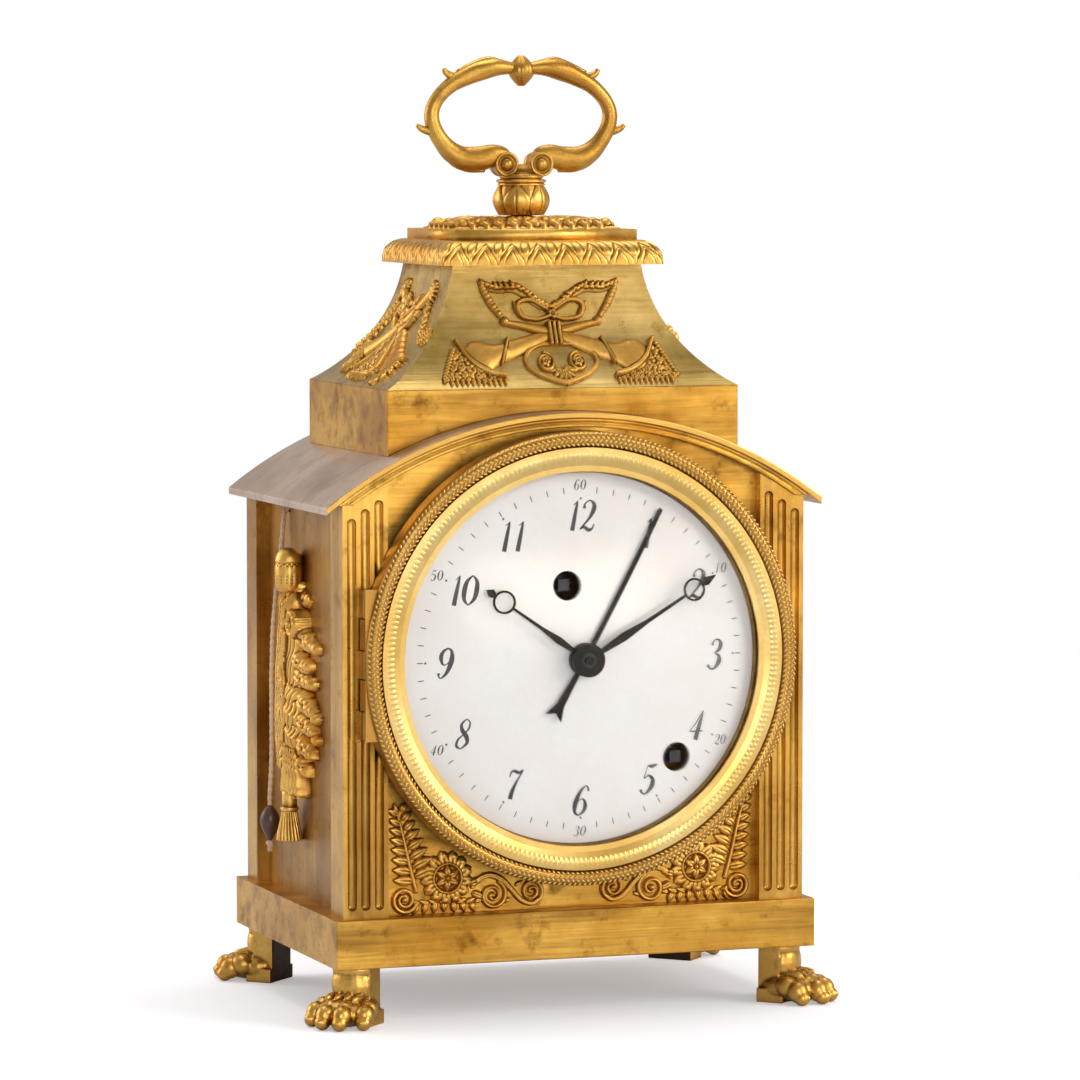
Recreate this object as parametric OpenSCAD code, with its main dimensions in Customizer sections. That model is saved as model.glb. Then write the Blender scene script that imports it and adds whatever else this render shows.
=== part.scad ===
// Officer's travelling clock in gilt brass, with alarm and pull repeat.
// The front faces -Y. Z is up from the ground, and the case stands on four paws.

/* [Plinth] */
// Projection of the plinth from the corner posts
base_out = 2.2; // [0.6:0.1:6]
// Height of the plinth
base_h = 10.9; // [8:0.1:16]
// Wall around the pocket under the plinth
base_wall = 4; // [2.5:0.1:6]
// Floor over the pocket
base_floor = 3; // [2:0.1:5]

/* [Paw feet] */
// Height of a foot, from the ground to the plinth
foot_h = 12.9; // [11:0.1:18]
// Distance of a foot's screw from the faces of the case corner
foot_inset = 3.46; // [3:0.05:4.5]
// Width of a leg
leg_w = 9.6; // [8:0.1:12]
// Thickness of a leg
leg_t = 8; // [7:0.1:10]
// Length of a paw, from its flat back to its claws
paw_l = 17.5; // [15:0.1:20]
// Width of a paw at its toes
paw_w = 18.6; // [16:0.1:21]
// Height of the pad behind the toes
paw_h = 4.6; // [3.5:0.1:6]
// Radius of a toe
toe_r = 3.1; // [2.5:0.05:3.6]
// Radius of the long screw that holds a foot and a post
screw_r = 1.5; // [1:0.05:1.8]
// Radius of the screw's head
screw_head_r = 2.7; // [2.4:0.05:3.2]
// Height of the screw's head
screw_head_h = 1.8; // [1:0.1:2.4]
// Length of the screw inside the post
screw_grip = 12; // [6:0.5:20]

/* [Case body] */
// Width over the corner posts
body_w = 109.2; // [106:0.1:112]
// Depth over the corner posts
body_d = 74.5; // [70:0.1:77]
// Height from the plinth to the eaves
wall_h = 91.2; // [88:0.1:105]
// Width of a corner post
post_w = 10.5; // [9:0.1:12]
// Depth of a front post
front_post_d = 9.1; // [8.5:0.1:12]
// Depth of a back post
back_post_d = 7.8; // [7:0.1:10]
// Width of a flute
flute_w = 2.1; // [1.2:0.05:2.4]
// Plain length of a post below and above its flutes
flute_end = 1.8; // [1:0.1:5]
// Set-back of the side panels from the posts
panel_recess = 2.9; // [1.5:0.1:4]
// Thickness of the side panels
panel_t = 1.5; // [1:0.1:2.5]
// Set-back of the front plate from the posts
front_recess = 3.05; // [2.6:0.05:3.6]
// Thickness of the front plate
front_t = 2.5; // [1.5:0.1:3.2]
// Set-back of the back frame from the posts
back_recess = 1.55; // [1:0.05:2.5]
// Thickness of the back frame
back_t = 2.5; // [1.5:0.1:3]
// Radius of the hole for the pull cord
cord_hole_r = 1.2; // [0.8:0.05:1.8]

/* [Barrel roof] */
// Width of the roof over its eaves
roof_span = 117.2; // [114:0.1:124]
// Rise of the roof over its eaves
roof_rise = 20.1; // [17:0.1:24]
// Thickness of the roof sheet
roof_t = 1.3; // [0.8:0.05:2]
// Depth of the roof
roof_d = 77; // [76:0.1:84]
// Height of the moulding under the front of the roof
archivolt_t = 2; // [1.2:0.1:3]
// Projection of the moulding's ends from the sides of the posts
archivolt_end = 1.3; // [0.3:0.1:1.8]
// Projection of the moulding from the posts
archivolt_out = 0.9; // [0.3:0.05:1.2]

/* [Attic and pagoda roof] */
// Width of the attic block
attic_w = 83.4; // [70:0.1:90]
// Depth of the attic block
attic_d = 59; // [50:0.1:66]
// Height of the attic block over the top of the roof
attic_rise = 5.1; // [3:0.1:9]
// Wall of the attic block
attic_wall = 2.5; // [1.5:0.1:4]
// Width at the top of the pagoda roof
crown_w = 45; // [40:0.1:50]
// Depth at the top of the pagoda roof
crown_d = 36; // [32:0.1:40]
// Height of the pagoda roof
crown_h = 27.3; // [24:0.1:32]
// Radius of the pagoda roof's hollow sides
crown_r = 38.5; // [36:0.1:46]
// Wall of the pagoda roof
crown_wall = 2; // [1.2:0.1:3]

/* [Cornice and top] */
// Width of the cornice
cornice_w = 52.6; // [50.5:0.1:58]
// Depth of the cornice
cornice_d = 44.4; // [42:0.1:50]
// Height of the cornice
cornice_h = 5.5; // [4:0.1:8]
// Width of the step on the cornice
step_w = 43.4; // [38:0.1:43.6]
// Depth of the step on the cornice
step_d = 34.8; // [30:0.1:35.2]
// Height of the step
step_h = 2.4; // [1:0.1:4]
// Height of the leafy mound over the step
mound_h = 3; // [2:0.1:5]

/* [Finial and handle] */
// Height of the acanthus bud
bud_h = 7; // [5:0.1:10]
// Largest radius of the bud
bud_r = 6.8; // [6:0.1:8]
// Radius of the bud at its foot and its neck
bud_neck_r = 5.2; // [4.5:0.1:5.8]
// Height of the collar on the bud
collar_h = 1.2; // [0.8:0.1:2]
// Radius of the collar
collar_r = 5.75; // [5:0.05:6.5]
// Radius of the threaded rod in the finial
stem_r = 1.9; // [1.2:0.05:2.2]
// Width of the handle over its bars
handle_w = 46.6; // [42:0.1:56]
// Height of the handle
handle_h = 28.4; // [26:0.1:34]
// Thickness of the handle at its sides
bar_t = 3.3; // [2.6:0.1:3.8]
// Height of the ball at the top of the handle
ball_h = 7.5; // [6:0.1:8.5]
// Radius of a volute at the foot of the handle
volute_r = 2.9; // [2.6:0.05:3.4]
// Depth of a volute, from front to back
volute_d = 5.2; // [4:0.1:6]

/* [Bezel and dial] */
// Height of the dial's centre over the plinth
dial_up = 56.55; // [54:0.05:57.5]
// Outer radius of the bezel
bezel_r = 50.75; // [50:0.05:52]
// Depth of the bezel
bezel_d = 5.4; // [5.2:0.05:6.4]
// Width of the rope band
rope_w = 3.45; // [2.4:0.05:4]
// Radius of the dial that shows
sight_r = 41.9; // [41.4:0.05:42.4]
// Thickness of the glass
glass_t = 1; // [0.7:0.05:1.4]
// Height of the glass dome
dome_h = 7.7; // [7.6:0.05:9]
// Angle that the bezel opens through is set by its hinge; this is the pin's radius
hinge_pin_r = 0.6; // [0.4:0.05:0.7]
// Wall of a hinge knuckle
knuckle_wall = 0.6; // [0.4:0.05:0.65]
// Height of the lug that carries the bezel's knuckles
lug_h = 33.6; // [30:0.1:36]
// Height of the drum around the dial
drum_h = 6.3; // [6:0.05:6.4]
// Wall of the drum
drum_wall = 2.1; // [1:0.05:2.2]
// Thickness of the enamel dial
dial_t = 1.4; // [1:0.05:1.6]
// Crown of the dial, from its edge to its centre
dial_crown = 3.1; // [2.6:0.05:3.2]
// Radius of the winding holes in the dial
winding_hole_r = 3.3; // [2.8:0.05:3.6]
// Width across the winding squares
square_w = 2.6; // [2:0.05:2.8]

/* [Hands] */
// Thickness of a hand
hand_t = 0.5; // [0.4:0.05:0.6]
// Radius of the hands' bosses
boss_r = 3.75; // [3.4:0.05:4.4]
// Length of the hour hand
hour_len = 28.1; // [24:0.1:31]
// Length of the minute hand
minute_len = 36.2; // [33:0.1:38]
// Length of the alarm hand
alarm_len = 38; // [34:0.1:39.5]
// Length of the alarm hand's tail
tail_len = 14.8; // [10:0.1:18]
// Outer radius of the ring in a hand
moon_r = 2.6; // [2:0.05:3.2]

/* [Movement] */
// Height of the movement plates
plate_h = 84; // [80:0.1:86]
// Distance of the movement plates from the front posts
plate_side_gap = 2.1; // [1:0.1:3]
// Thickness of the movement plates
plate_t = 2; // [1.5:0.1:2.4]
// Distance between the movement plates
plate_gap = 30; // [30:0.1:31]
// Radius of a pillar
pillar_r = 2.5; // [2:0.1:3]
// Distance of a pillar from the edges of its plate
pillar_inset = 6; // [5:0.1:7]
// Distance of the centre wheel behind the front movement plate
centre_wheel_back = 19.2; // [19.1:0.05:19.3]
// Distance of the fourth wheel behind the front movement plate
fourth_wheel_back = 7.7; // [7.6:0.05:7.8]
// Radius of the drum of the going barrel
going_drum_r = 13.4; // [11:0.1:13.5]
// Radius of the drum of the alarm barrel
alarm_drum_r = 12; // [9:0.1:12.5]
// Radius of the barrel arbors
barrel_arbor_r = 2; // [2:0.05:2.2]
// Radius of the bell
bell_r = 26.5; // [24:0.1:27]
// Depth of the bell
bell_d = 16; // [12:0.1:16.5]
// Thickness of the bell
bell_t = 1.5; // [1:0.1:2]
// Radius of the balance wheel
balance_r = 9; // [7:0.1:9.5]

/* [Back door] */
// Half width of the door opening
door_half = 37.5; // [35:0.1:38]
// Height of the door's sill over the plinth
sill_h = 7.2; // [5:0.1:12]
// Height of the frame over the door
door_head = 12.2; // [9:0.1:16]
// Thickness of the door
door_t = 2; // [1.2:0.1:2.2]
// Radius of the latch knob
knob_r = 3.2; // [2.6:0.1:4]

/* [Mounts on the case] */
// Thickness of the corner ornaments on the front plate
spandrel_t = 1.5; // [0.8:0.1:2.2]
// Thickness of the trophies on the pagoda roof
trophy_t = 1.4; // [0.8:0.1:2]
// Thickness of the trophies on the side panels
pendant_t = 4.6; // [3:0.1:4.7]
// Distance of the trophies on the side panels behind the middle of the case
pendant_y = 3.2; // [2:0.1:4.2]
// Radius of the tassel at the foot of each trophy on the side panels
tassel_r = 2.9; // [2.4:0.1:3.4]

/* [Hidden] */
$fn = 96;

// Shared clearances
run_gap = 0.05;
side_gap = 0.3;
eps = 0.01;
far = 400;
arc_sides = 240;

// Heights
base_top = foot_h + base_h;
eave_z = base_top + wall_h;
arc_r = (pow(roof_span / 2, 2) + pow(roof_rise, 2)) / (2 * roof_rise);
arc_z = eave_z + roof_rise - arc_r;
under_r = arc_r - roof_t;
attic_top = eave_z + roof_rise + attic_rise;
crown_top = attic_top + crown_h;
cornice_top = crown_top + cornice_h;
step_top = cornice_top + step_h;
mound_top = step_top + mound_h;
bud_top = mound_top + bud_h;
collar_top = bud_top + collar_h;
handle_top = collar_top + handle_h;
dial_z = base_top + dial_up;

// Planes from front to back, before the whole is centred
front_y = -body_d / 2;
back_y = body_d / 2;
plate_y = front_y + front_recess;
plate_back_y = plate_y + front_t;
frame_y = back_y - back_recess - back_t;
panel_x = body_w / 2 - panel_recess;
post_x = body_w / 2 - post_w;
base_w = body_w + 2 * base_out;
base_d = body_d + 2 * base_out;
archivolt_w = body_w + 2 * archivolt_end;
plate_w = 2 * (post_x - plate_side_gap);
drum_top_y = plate_y - drum_h;
drum_r = bezel_r - 6.95;
dial_r = drum_r - drum_wall - 0.2;
dial_edge_y = drum_top_y + 1.2;
dial_ball_r = (pow(dial_r, 2) + pow(dial_crown, 2)) / (2 * dial_crown);
dial_apex_y = dial_edge_y - dial_crown;
bezel_back_y = front_y - 0.45;
bezel_front_y = bezel_back_y - bezel_d;
lip_y = bezel_front_y + 1.4;
seat_r = drum_r + 0.6;
flange_t = 0.8;
glass_in_y = lip_y - dome_h;
glass_edge_r = sight_r - 0.6;
glass_ball_r = (pow(glass_edge_r, 2) + pow(dome_h, 2)) / (2 * dome_h);

// Bezel hinge on the left and door hinge on the right, both upright
knuckle_r = hinge_pin_r + run_gap + knuckle_wall - 0.05;
bezel_pin_x = 1.15 - bezel_r;
bezel_pin_y = front_y - 2.15;
rim_keep = bezel_front_y + 1.85;
door_pin_x = door_half + 0.7;
door_pin_y = back_y - back_recess + 1.4;

// Movement
move_y0 = plate_back_y;
move_y1 = move_y0 + plate_t;
move_y2 = move_y1 + plate_gap;
move_y3 = move_y2 + plate_t;
going_pos = [-3.8, 16.45];
alarm_pos = [22.7, -22.85];
dial_feet = [for (a = [30, 150, 270]) 36 * [cos(a), sin(a)]];
foot_pin_r = 1;
pivot_r = 0.6;
arbor_r = 1.1;
staff_r = 0.6;

// Teeth and modules of the wheels
great_teeth = 65;
centre_pinion_teeth = 10;
great_module = 2 * norm(going_pos) / (great_teeth + centre_pinion_teeth);
centre_teeth = 64;
third_pinion_teeth = 8;
centre_module = 0.4;
third_teeth = 60;
fourth_pinion_teeth = 8;
third_module = 0.35;
fourth_teeth = 60;
escape_pinion_teeth = 8;
fourth_module = 0.3;
escape_teeth = 15;
escape_r = 6;
cannon_teeth = 12;
minute_teeth = 36;
minute_pinion_teeth = 10;
hour_teeth = 40;
motion_reach = 10;
minute_module = 2 * motion_reach / (cannon_teeth + minute_teeth);
hour_module = 2 * motion_reach / (minute_pinion_teeth + hour_teeth);

// Where the arbors stand, from the dial's centre
function toward(from, angle, reach) = from + reach * [cos(angle), sin(angle)];
function reach_of(m, a, b) = m * (a + b) / 2;
going_angle = atan2(going_pos[1], going_pos[0]);
third_angle = 200;
third_pos = toward([0, 0], third_angle, reach_of(centre_module, centre_teeth, third_pinion_teeth));
fourth_angle = 250;
fourth_pos = toward(third_pos, fourth_angle, reach_of(third_module, third_teeth, fourth_pinion_teeth));
escape_angle = 330;
escape_pos = toward(fourth_pos, escape_angle,
    reach_of(fourth_module, fourth_teeth, escape_pinion_teeth));
cylinder_r = 0.8;
balance_pos = toward(escape_pos, 0, escape_r + cylinder_r + 0.2);
motion_angle = 217;
motion_pos = toward([0, 0], motion_angle, motion_reach);

// Turning a wheel so that its gap meets its neighbour's tooth
function part_of(v) = v - floor(v);
function mesh_turn(turn, teeth, next_teeth, angle) =
    angle + 180 + (part_of((angle - turn) * teeth / 360) + 0.5) * 360 / next_teeth;
great_turn = 0;
centre_pinion_turn = mesh_turn(great_turn, great_teeth, centre_pinion_teeth, going_angle + 180);
third_pinion_turn = mesh_turn(0, centre_teeth, third_pinion_teeth, third_angle);
fourth_pinion_turn = mesh_turn(0, third_teeth, fourth_pinion_teeth, fourth_angle);
escape_pinion_turn = mesh_turn(0, fourth_teeth, escape_pinion_teeth, escape_angle);
minute_wheel_turn = mesh_turn(0, cannon_teeth, minute_teeth, motion_angle);
hour_wheel_turn = mesh_turn(0, minute_pinion_teeth, hour_teeth, motion_angle + 180);

// Levels of the wheels, counted back from the rear of the front movement plate
great_y = move_y1 + 2.2;
great_t = 1.8;
drum_len = 13;
centre_wheel_y = move_y1 + centre_wheel_back;
wheel_t = 1.2;
third_wheel_y = centre_wheel_y + 4.5;
fourth_wheel_y = move_y1 + fourth_wheel_back;
escape_wheel_y = third_wheel_y + 2.4;
pinion_over = 0.8;

// Levels of the motion work, counted forward from the front movement plate
cannon_y = move_y0 - 2.6;
cannon_t = 2;
hour_wheel_y = cannon_y - 2.2;
hour_wheel_t = 1.4;
alarm_wheel_y = hour_wheel_y - 2.3;
alarm_wheel_t = 1;
alarm_wheel_r = 9;

// Nested pipes under the hands, each running on the one inside it
arbor_front_r = 1;
cannon_in = arbor_front_r + run_gap;
cannon_out = 1.65;
hour_in = cannon_out + run_gap;
hour_out = 2.3;
alarm_in = hour_out + run_gap;
alarm_out = 2.95;
dial_hole_r = alarm_out + 0.5;
alarm_lift = 0.5;
hour_lift = alarm_lift + hand_t + 0.4;
minute_lift = hour_lift + hand_t + 0.4;
alarm_hand_y = dial_apex_y - alarm_lift;
hour_hand_y = dial_apex_y - hour_lift;
minute_hand_y = dial_apex_y - minute_lift;
minute_boss = 0.8;
arbor_end_y = minute_hand_y - hand_t - minute_boss - 0.6;
square_end_y = dial_edge_y - 0.3;

// Rear work: balance, bell, hammer and repeat lever
balance_y = move_y3 + 2.2;
balance_t = 1.2;
cock_y = balance_y + 3.5;
cock_t = 2;
cock_foot = [12, -31];
bell_pos = [0, -6];
bell_y = move_y3 + 12.7;
bell_post_r = 2;
bell_tip_r = 1.5;
lever_y = move_y3 + 9.6;
lever_t = 1.6;
stud_r = 1.2;
lever_x = 2 - plate_w / 2;
lever_drop = 14.9;
lever_swing = 6;
hammer_pos = [-34, -28.35];
hammer_head_r = 2.3;
hammer_gap = 1;

// Foot of a side trophy's tassel over the plinth's top
tassel_low = 12.7;

// Pull cord: centre line from the lever to the bead, then the bead's place
cord_r = 0.5;
cord_y = 12.7;
cord_z = 111.9;
cord_route = [
    [-35.2, 111.9], [-40, 111.9], [-45, 111.9], [-49.5, 111.9], [-51.8, 111.8], [-52.7, 111.1],
    [-53, 109.6], [-53.2, 107.5], [-53.4, 105], [-53.7, 102], [-54, 99], [-54.4, 96],
    [-54.8, 93], [-55.2, 89], [-55.6, 85], [-55.8, 81], [-55.9, 77], [-56, 73],
    [-56, 69], [-56, 65], [-56, 61], [-56, 57], [-56.1, 53], [-56.3, 49],
    [-56.5, 46], [-56.5, 43.6]
];
bead_x = -56.5;
bead_top = 43.6;
bead_h = 8.3;
bead_r = 2.25;

// The whole is centred between its claws and its glass
toe_count = 4;
toe_back = 1.6;
function toe_place(i) = let (s = i - (toe_count - 1) / 2)
    [paw_l - leg_t / 2 - toe_r - toe_back * s * s, s * (paw_w - 2 * toe_r) / (toe_count - 1)];
foot_y = body_d / 2 - foot_inset;
foot_x = body_w / 2 - foot_inset;
paw_reach = foot_y + max([for (i = [0:toe_count - 1])
    (toe_place(i)[0] + toe_place(i)[1]) / sqrt(2) + toe_r]);
glass_front_y = glass_in_y - glass_t;
shift_y = (-glass_front_y - paw_reach) / 2;

// Helpers

module centred() {
    translate([0, shift_y, 0]) children();
}

// A flat outline in the front view, standing from y0 back to y1
module slab(y0, y1) {
    translate([0, y1, 0]) rotate([90, 0, 0]) linear_extrude(y1 - y0) children();
}

// The same, with its outline drawn round the dial's centre
module dial_slab(y0, y1) {
    translate([0, 0, dial_z]) slab(y0, y1) children();
}

// A round bar along Y
module bar_y(r, y0, y1, at = [0, 0]) {
    translate([at[0], y1, at[1]]) rotate([90, 0, 0]) cylinder(r = r, h = y1 - y0);
}

// A round bar along Y placed from the dial's centre
module dial_bar(r, y0, y1, at = [0, 0]) {
    bar_y(r, y0, y1, at + [0, dial_z]);
}

// A turned piece: radius and forward depth, round the dial's axis
module turned(at = [0, 0]) {
    translate([at[0], 0, dial_z + at[1]]) rotate([90, 0, 0]) rotate_extrude($fn = 180) children();
}

// A box from its low and high corners
module block(low, high) {
    translate(low) cube(high - low);
}

module under_roof() {
    intersection() {
        children();
        bar_y(under_r, -far, far, [0, arc_z], $fn = arc_sides);
    }
}

// Height of the arc of radius r at x
function arc_height(x, r) = arc_z + sqrt(r * r - x * x);

function unit(v) = v / norm(v);
function side_of(p, i) = let (
    a = p[max(i - 1, 0)],
    b = p[min(i + 1, len(p) - 1)],
    t = unit(b - a)) [-t[1], t[0]];

// A band of varying width along flat points
function band(p, w) = concat(
    [for (i = [0:len(p) - 1]) p[i] + side_of(p, i) * w[min(i, len(w) - 1)] / 2],
    [for (i = [len(p) - 1:-1:0]) p[i] - side_of(p, i) * w[min(i, len(w) - 1)] / 2]);

// A scroll that winds in from r0 to r1
function scroll(at, r0, r1, a0, a1, n = 18) = [for (i = [0:n]) let (
    a = a0 + (a1 - a0) * i / n,
    r = r0 + (r1 - r0) * i / n) at + r * [cos(a), sin(a)]];

// A leaf with two pointed ends
function leaf(at, angle, l, w, n = 5) = [for (s = [1, -1], i = [s > 0 ? 0 : 1:s > 0 ? n : n - 1]) let (
    t = s > 0 ? i / n : 1 - i / n,
    u = t * l,
    v = s * w / 2 * sin(180 * pow(t, 0.8)))
    at + [u * cos(angle) - v * sin(angle), u * sin(angle) + v * cos(angle)]];

module leaf_shape(at, angle, l, w) {
    polygon(leaf(at, angle, l, w));
}

// Teeth of a spur wheel: flank points from root to tip
function involute(base, r) = r <= base ? 0 :
    let (a = acos(base / r)) tan(a) * 180 / PI - a;
function gear_points(teeth, m, turn) = let (
    pitch = m * teeth / 2,
    base = pitch * cos(20),
    radii = [pitch - 1.1 * m, pitch - 0.4 * m, pitch + 0.15 * m, pitch + 0.7 * m],
    half = 90 / teeth * 0.8)
    [for (k = [0:teeth - 1], s = [-1, 1], i = [0:3]) let (
        r = radii[s < 0 ? i : 3 - i],
        lean = half + involute(base, pitch) - involute(base, r),
        a = turn + k * 360 / teeth + s * lean) r * [cos(a), sin(a)]];

module gear(teeth, m, turn, y0, y1, at) {
    translate([at[0], 0, dial_z + at[1]]) slab(y0, y1) polygon(gear_points(teeth, m, turn));
}

// Round openings that lighten a wheel
module crossings(count, ring_r, hole_r, y0, y1, at) {
    for (k = [0:count - 1]) {
        dial_bar(hole_r, y0 - eps, y1 + eps, toward(at, 45 + k * 360 / count, ring_r));
    }
}

// An arbor between the movement plates with a pivot in each
module arbor(at, r = arbor_r) {
    dial_bar(r, move_y1 + 0.2, move_y2 - 0.2, at);
    dial_bar(pivot_r, move_y0, move_y3, at);
}

// Upright hinge knuckles between the heights of each span
module knuckles(x, y, spans) {
    for (s = spans) translate([x, y, s[0]]) cylinder(r = knuckle_r, h = s[1] - s[0]);
}

module pin_bore(x, y) {
    translate([x, y, 0]) cylinder(r = hinge_pin_r + run_gap, h = far);
}

// A round tube swept through ring centres, each ring square to its path
function cross_of(t) = unit(cross(t, [0, 1, 0]));
module tube(points, radii, sides) {
    n = len(points);
    rings = [for (i = [0:n - 1]) let (
        t = points[min(i + 1, n - 1)] - points[max(i - 1, 0)],
        across = cross_of(t))
        [for (k = [0:sides - 1]) let (a = 360 * (k + 0.5) / sides)
            points[i] + radii[min(i, len(radii) - 1)] * (cos(a) * across + sin(a) * [0, 1, 0])]];
    verts = [for (ring = rings) each ring];
    faces = concat(
        [[for (k = [sides - 1:-1:0]) k]],
        [[for (k = [0:sides - 1]) (n - 1) * sides + k]],
        [for (i = [0:n - 2], k = [0:sides - 1]) let (
            a = i * sides + k,
            b = i * sides + (k + 1) % sides) [a, b, b + sides, a + sides]]);
    polyhedron(verts, faces);
}

// Plinth and feet

module base_plinth() {
    color("goldenrod") centred() difference() {
        block([-base_w / 2, -base_d / 2, foot_h], [base_w / 2, base_d / 2, base_top]);
        pocket_x = base_w / 2 - base_wall;
        pocket_y = base_d / 2 - base_wall;
        corner_x = foot_x - leg_t;
        corner_y = foot_y - leg_t;
        block([-corner_x, -pocket_y, foot_h - eps], [corner_x, pocket_y, base_top - base_floor]);
        block([-pocket_x, -corner_y, foot_h - eps], [pocket_x, corner_y, base_top - base_floor]);
        for (sx = [-1, 1], sy = [-1, 1]) {
            translate([sx * foot_x, sy * foot_y, 0]) cylinder(r = screw_r + run_gap, h = far);
        }
    }
}

// A lion's paw whose local X points outward from the case corner
module paw() {
    toe_x = toe_place(1)[0];
    difference() {
        union() {
            block([-leg_t / 2, -leg_w / 2, 0], [leg_t / 2 - leg_w / 4, leg_w / 2, foot_h]);
            translate([leg_t / 2 - leg_w / 4, 0, 0]) intersection() {
                linear_extrude(foot_h) scale([0.5, 1]) circle(d = leg_w);
                block([0, -leg_w, 0], [leg_w, leg_w, foot_h]);
            }
            linear_extrude(paw_h) hull() {
                translate([-leg_t / 2, -paw_w / 3]) square([1, paw_w / 1.5]);
                for (s = [-1, 1]) translate([toe_x - 2, s * (paw_w / 2 - 3)]) circle(r = 3, $fn = 24);
            }
            for (i = [0:toe_count - 1]) {
                translate([toe_place(i)[0], toe_place(i)[1], toe_r - 0.4]) sphere(r = toe_r, $fn = 32);
                translate([toe_place(i)[0], toe_place(i)[1], 0]) cylinder(r = toe_r - 0.3, h = toe_r);
            }
        }
        block([-far, -far, -far], [far, far, 0]);
        translate([0, 0, -eps]) cylinder(r = screw_r + run_gap, h = far);
        translate([0, 0, -eps]) cylinder(r = screw_head_r + run_gap, h = screw_head_h + 0.4 + eps);
    }
}

module foot(sx, sy) {
    color("darkgoldenrod") centred()
        translate([sx * foot_x, sy * foot_y, 0]) rotate([0, 0, atan2(sy, sx)]) paw();
}

module foot_screws() {
    color("dimgray") centred() for (sx = [-1, 1], sy = [-1, 1]) {
        translate([sx * foot_x, sy * foot_y, 0]) {
            translate([0, 0, 0.4]) cylinder(r = screw_head_r, h = screw_head_h);
            translate([0, 0, 0.4]) cylinder(r = screw_r, h = base_top + screw_grip - 0.4);
        }
    }
}

// Posts, panels and plates of the case

module archivolt_band() {
    slab(front_y - archivolt_out, plate_y) intersection() {
        translate([0, arc_z]) difference() {
            circle(r = under_r, $fn = arc_sides);
            circle(r = under_r - archivolt_t, $fn = arc_sides);
        }
        translate([-archivolt_w / 2, eave_z + 0.5]) square([archivolt_w, far]);
    }
}

module archivolt() {
    color("goldenrod") centred() difference() {
        archivolt_band();
        groove_r = under_r - archivolt_t / 2;
        slab(front_y - archivolt_out - eps, front_y - archivolt_out + 0.35) translate([0, arc_z])
            difference() {
                circle(r = groove_r + 0.3, $fn = arc_sides);
                circle(r = groove_r - 0.2, $fn = arc_sides);
            }
    }
}

// sx and sy tell the corner; the front posts are fluted
module post(sx, sy) {
    d = sy < 0 ? front_post_d : back_post_d;
    x0 = sx < 0 ? -body_w / 2 : post_x;
    y0 = sy < 0 ? front_y : back_y - d;
    fillet = (post_w - 3 * flute_w) / 4;
    color("gold") centred() difference() {
        under_roof() block([x0, y0, base_top], [x0 + post_w, y0 + d, far]);
        translate([sx * foot_x, sy * foot_y, 0]) cylinder(r = screw_r + run_gap, h = base_top + screw_grip + 0.5);
        if (sy < 0) {
            for (k = [0:2]) {
                x = x0 + fillet + flute_w / 2 + k * (fillet + flute_w);
                low = base_top + flute_end + flute_w / 2;
                high = arc_height(x, under_r - archivolt_t) - flute_end - flute_w;
                translate([x, front_y, low]) cylinder(r = flute_w / 2, h = high - low);
                translate([x, front_y, low]) sphere(r = flute_w / 2);
                translate([x, front_y, high]) sphere(r = flute_w / 2);
            }
            archivolt_band();
            if (sx < 0) hinge_seat();
        }
    }
}

// Spans of the bezel hinge: three knuckles on the post, two on the bezel
lug_z0 = dial_z - lug_h / 2;
bezel_fixed = [for (k = [0, 2, 4]) [lug_z0 + k * lug_h / 5 + side_gap, lug_z0 + (k + 1) * lug_h / 5 - side_gap]];
bezel_moving = [for (k = [1, 3]) [lug_z0 + k * lug_h / 5, lug_z0 + (k + 1) * lug_h / 5]];

// Shallow seat in the post's face behind the bezel's lug
module hinge_seat() {
    block([bezel_pin_x - 3, front_y - 1, lug_z0 - 0.5], [bezel_pin_x + 3.4, front_y + 0.4, lug_z0 + lug_h + 0.5]);
}

module post_front_left() {
    post(-1, -1);
    color("gold") centred() difference() {
        union() {
            knuckles(bezel_pin_x, bezel_pin_y, bezel_fixed);
            for (s = bezel_fixed) {
                block([bezel_pin_x - knuckle_r, bezel_pin_y, s[0]],
                    [bezel_pin_x + knuckle_r, front_y + flute_w / 2 + 0.1, s[1]]);
            }
        }
        pin_bore(bezel_pin_x, bezel_pin_y);
    }
}

// Flat plate with a drum round its opening, where the dial lies
module front_plate() {
    open_r = drum_r - 4.8;
    color("goldenrod") centred() difference() {
        union() {
            under_roof() block([-post_x, plate_y, base_top], [post_x, plate_back_y, far]);
            dial_bar(drum_r, drum_top_y, plate_y + eps);
        }
        dial_bar(open_r, -far, far);
        dial_bar(drum_r - drum_wall, drum_top_y - eps, plate_y);
    }
}

module panel(sx) {
    x = sx * panel_x;
    inner = x - sx * panel_t;
    color("goldenrod") centred() difference() {
        under_roof() block([min(x, inner), front_y + front_post_d, base_top],
            [max(x, inner), back_y - back_post_d, far]);
        if (sx < 0) {
            translate([-far, cord_y, cord_z]) rotate([0, 90, 0]) cylinder(r = cord_hole_r, h = far);
        }
    }
}

module door_outline(grow) {
    intersection() {
        translate([0, arc_z]) circle(r = under_r - door_head + grow, $fn = arc_sides);
        translate([-door_half - grow, base_top + sill_h - grow]) square([2 * (door_half + grow), far]);
    }
}

door_z0 = base_top + sill_h + 8;
door_span = 8;
door_gap_z = arc_height(door_half, under_r - door_head) - door_z0 - 4 - 3 * door_span;
door_fixed = [for (z = [door_z0, door_z0 + door_gap_z])
    each [[z, z + door_span], [z + 2 * door_span, z + 3 * door_span - 4]]];
door_moving = [for (z = [door_z0, door_z0 + door_gap_z]) [z + door_span + side_gap, z + 2 * door_span - side_gap]];

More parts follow.
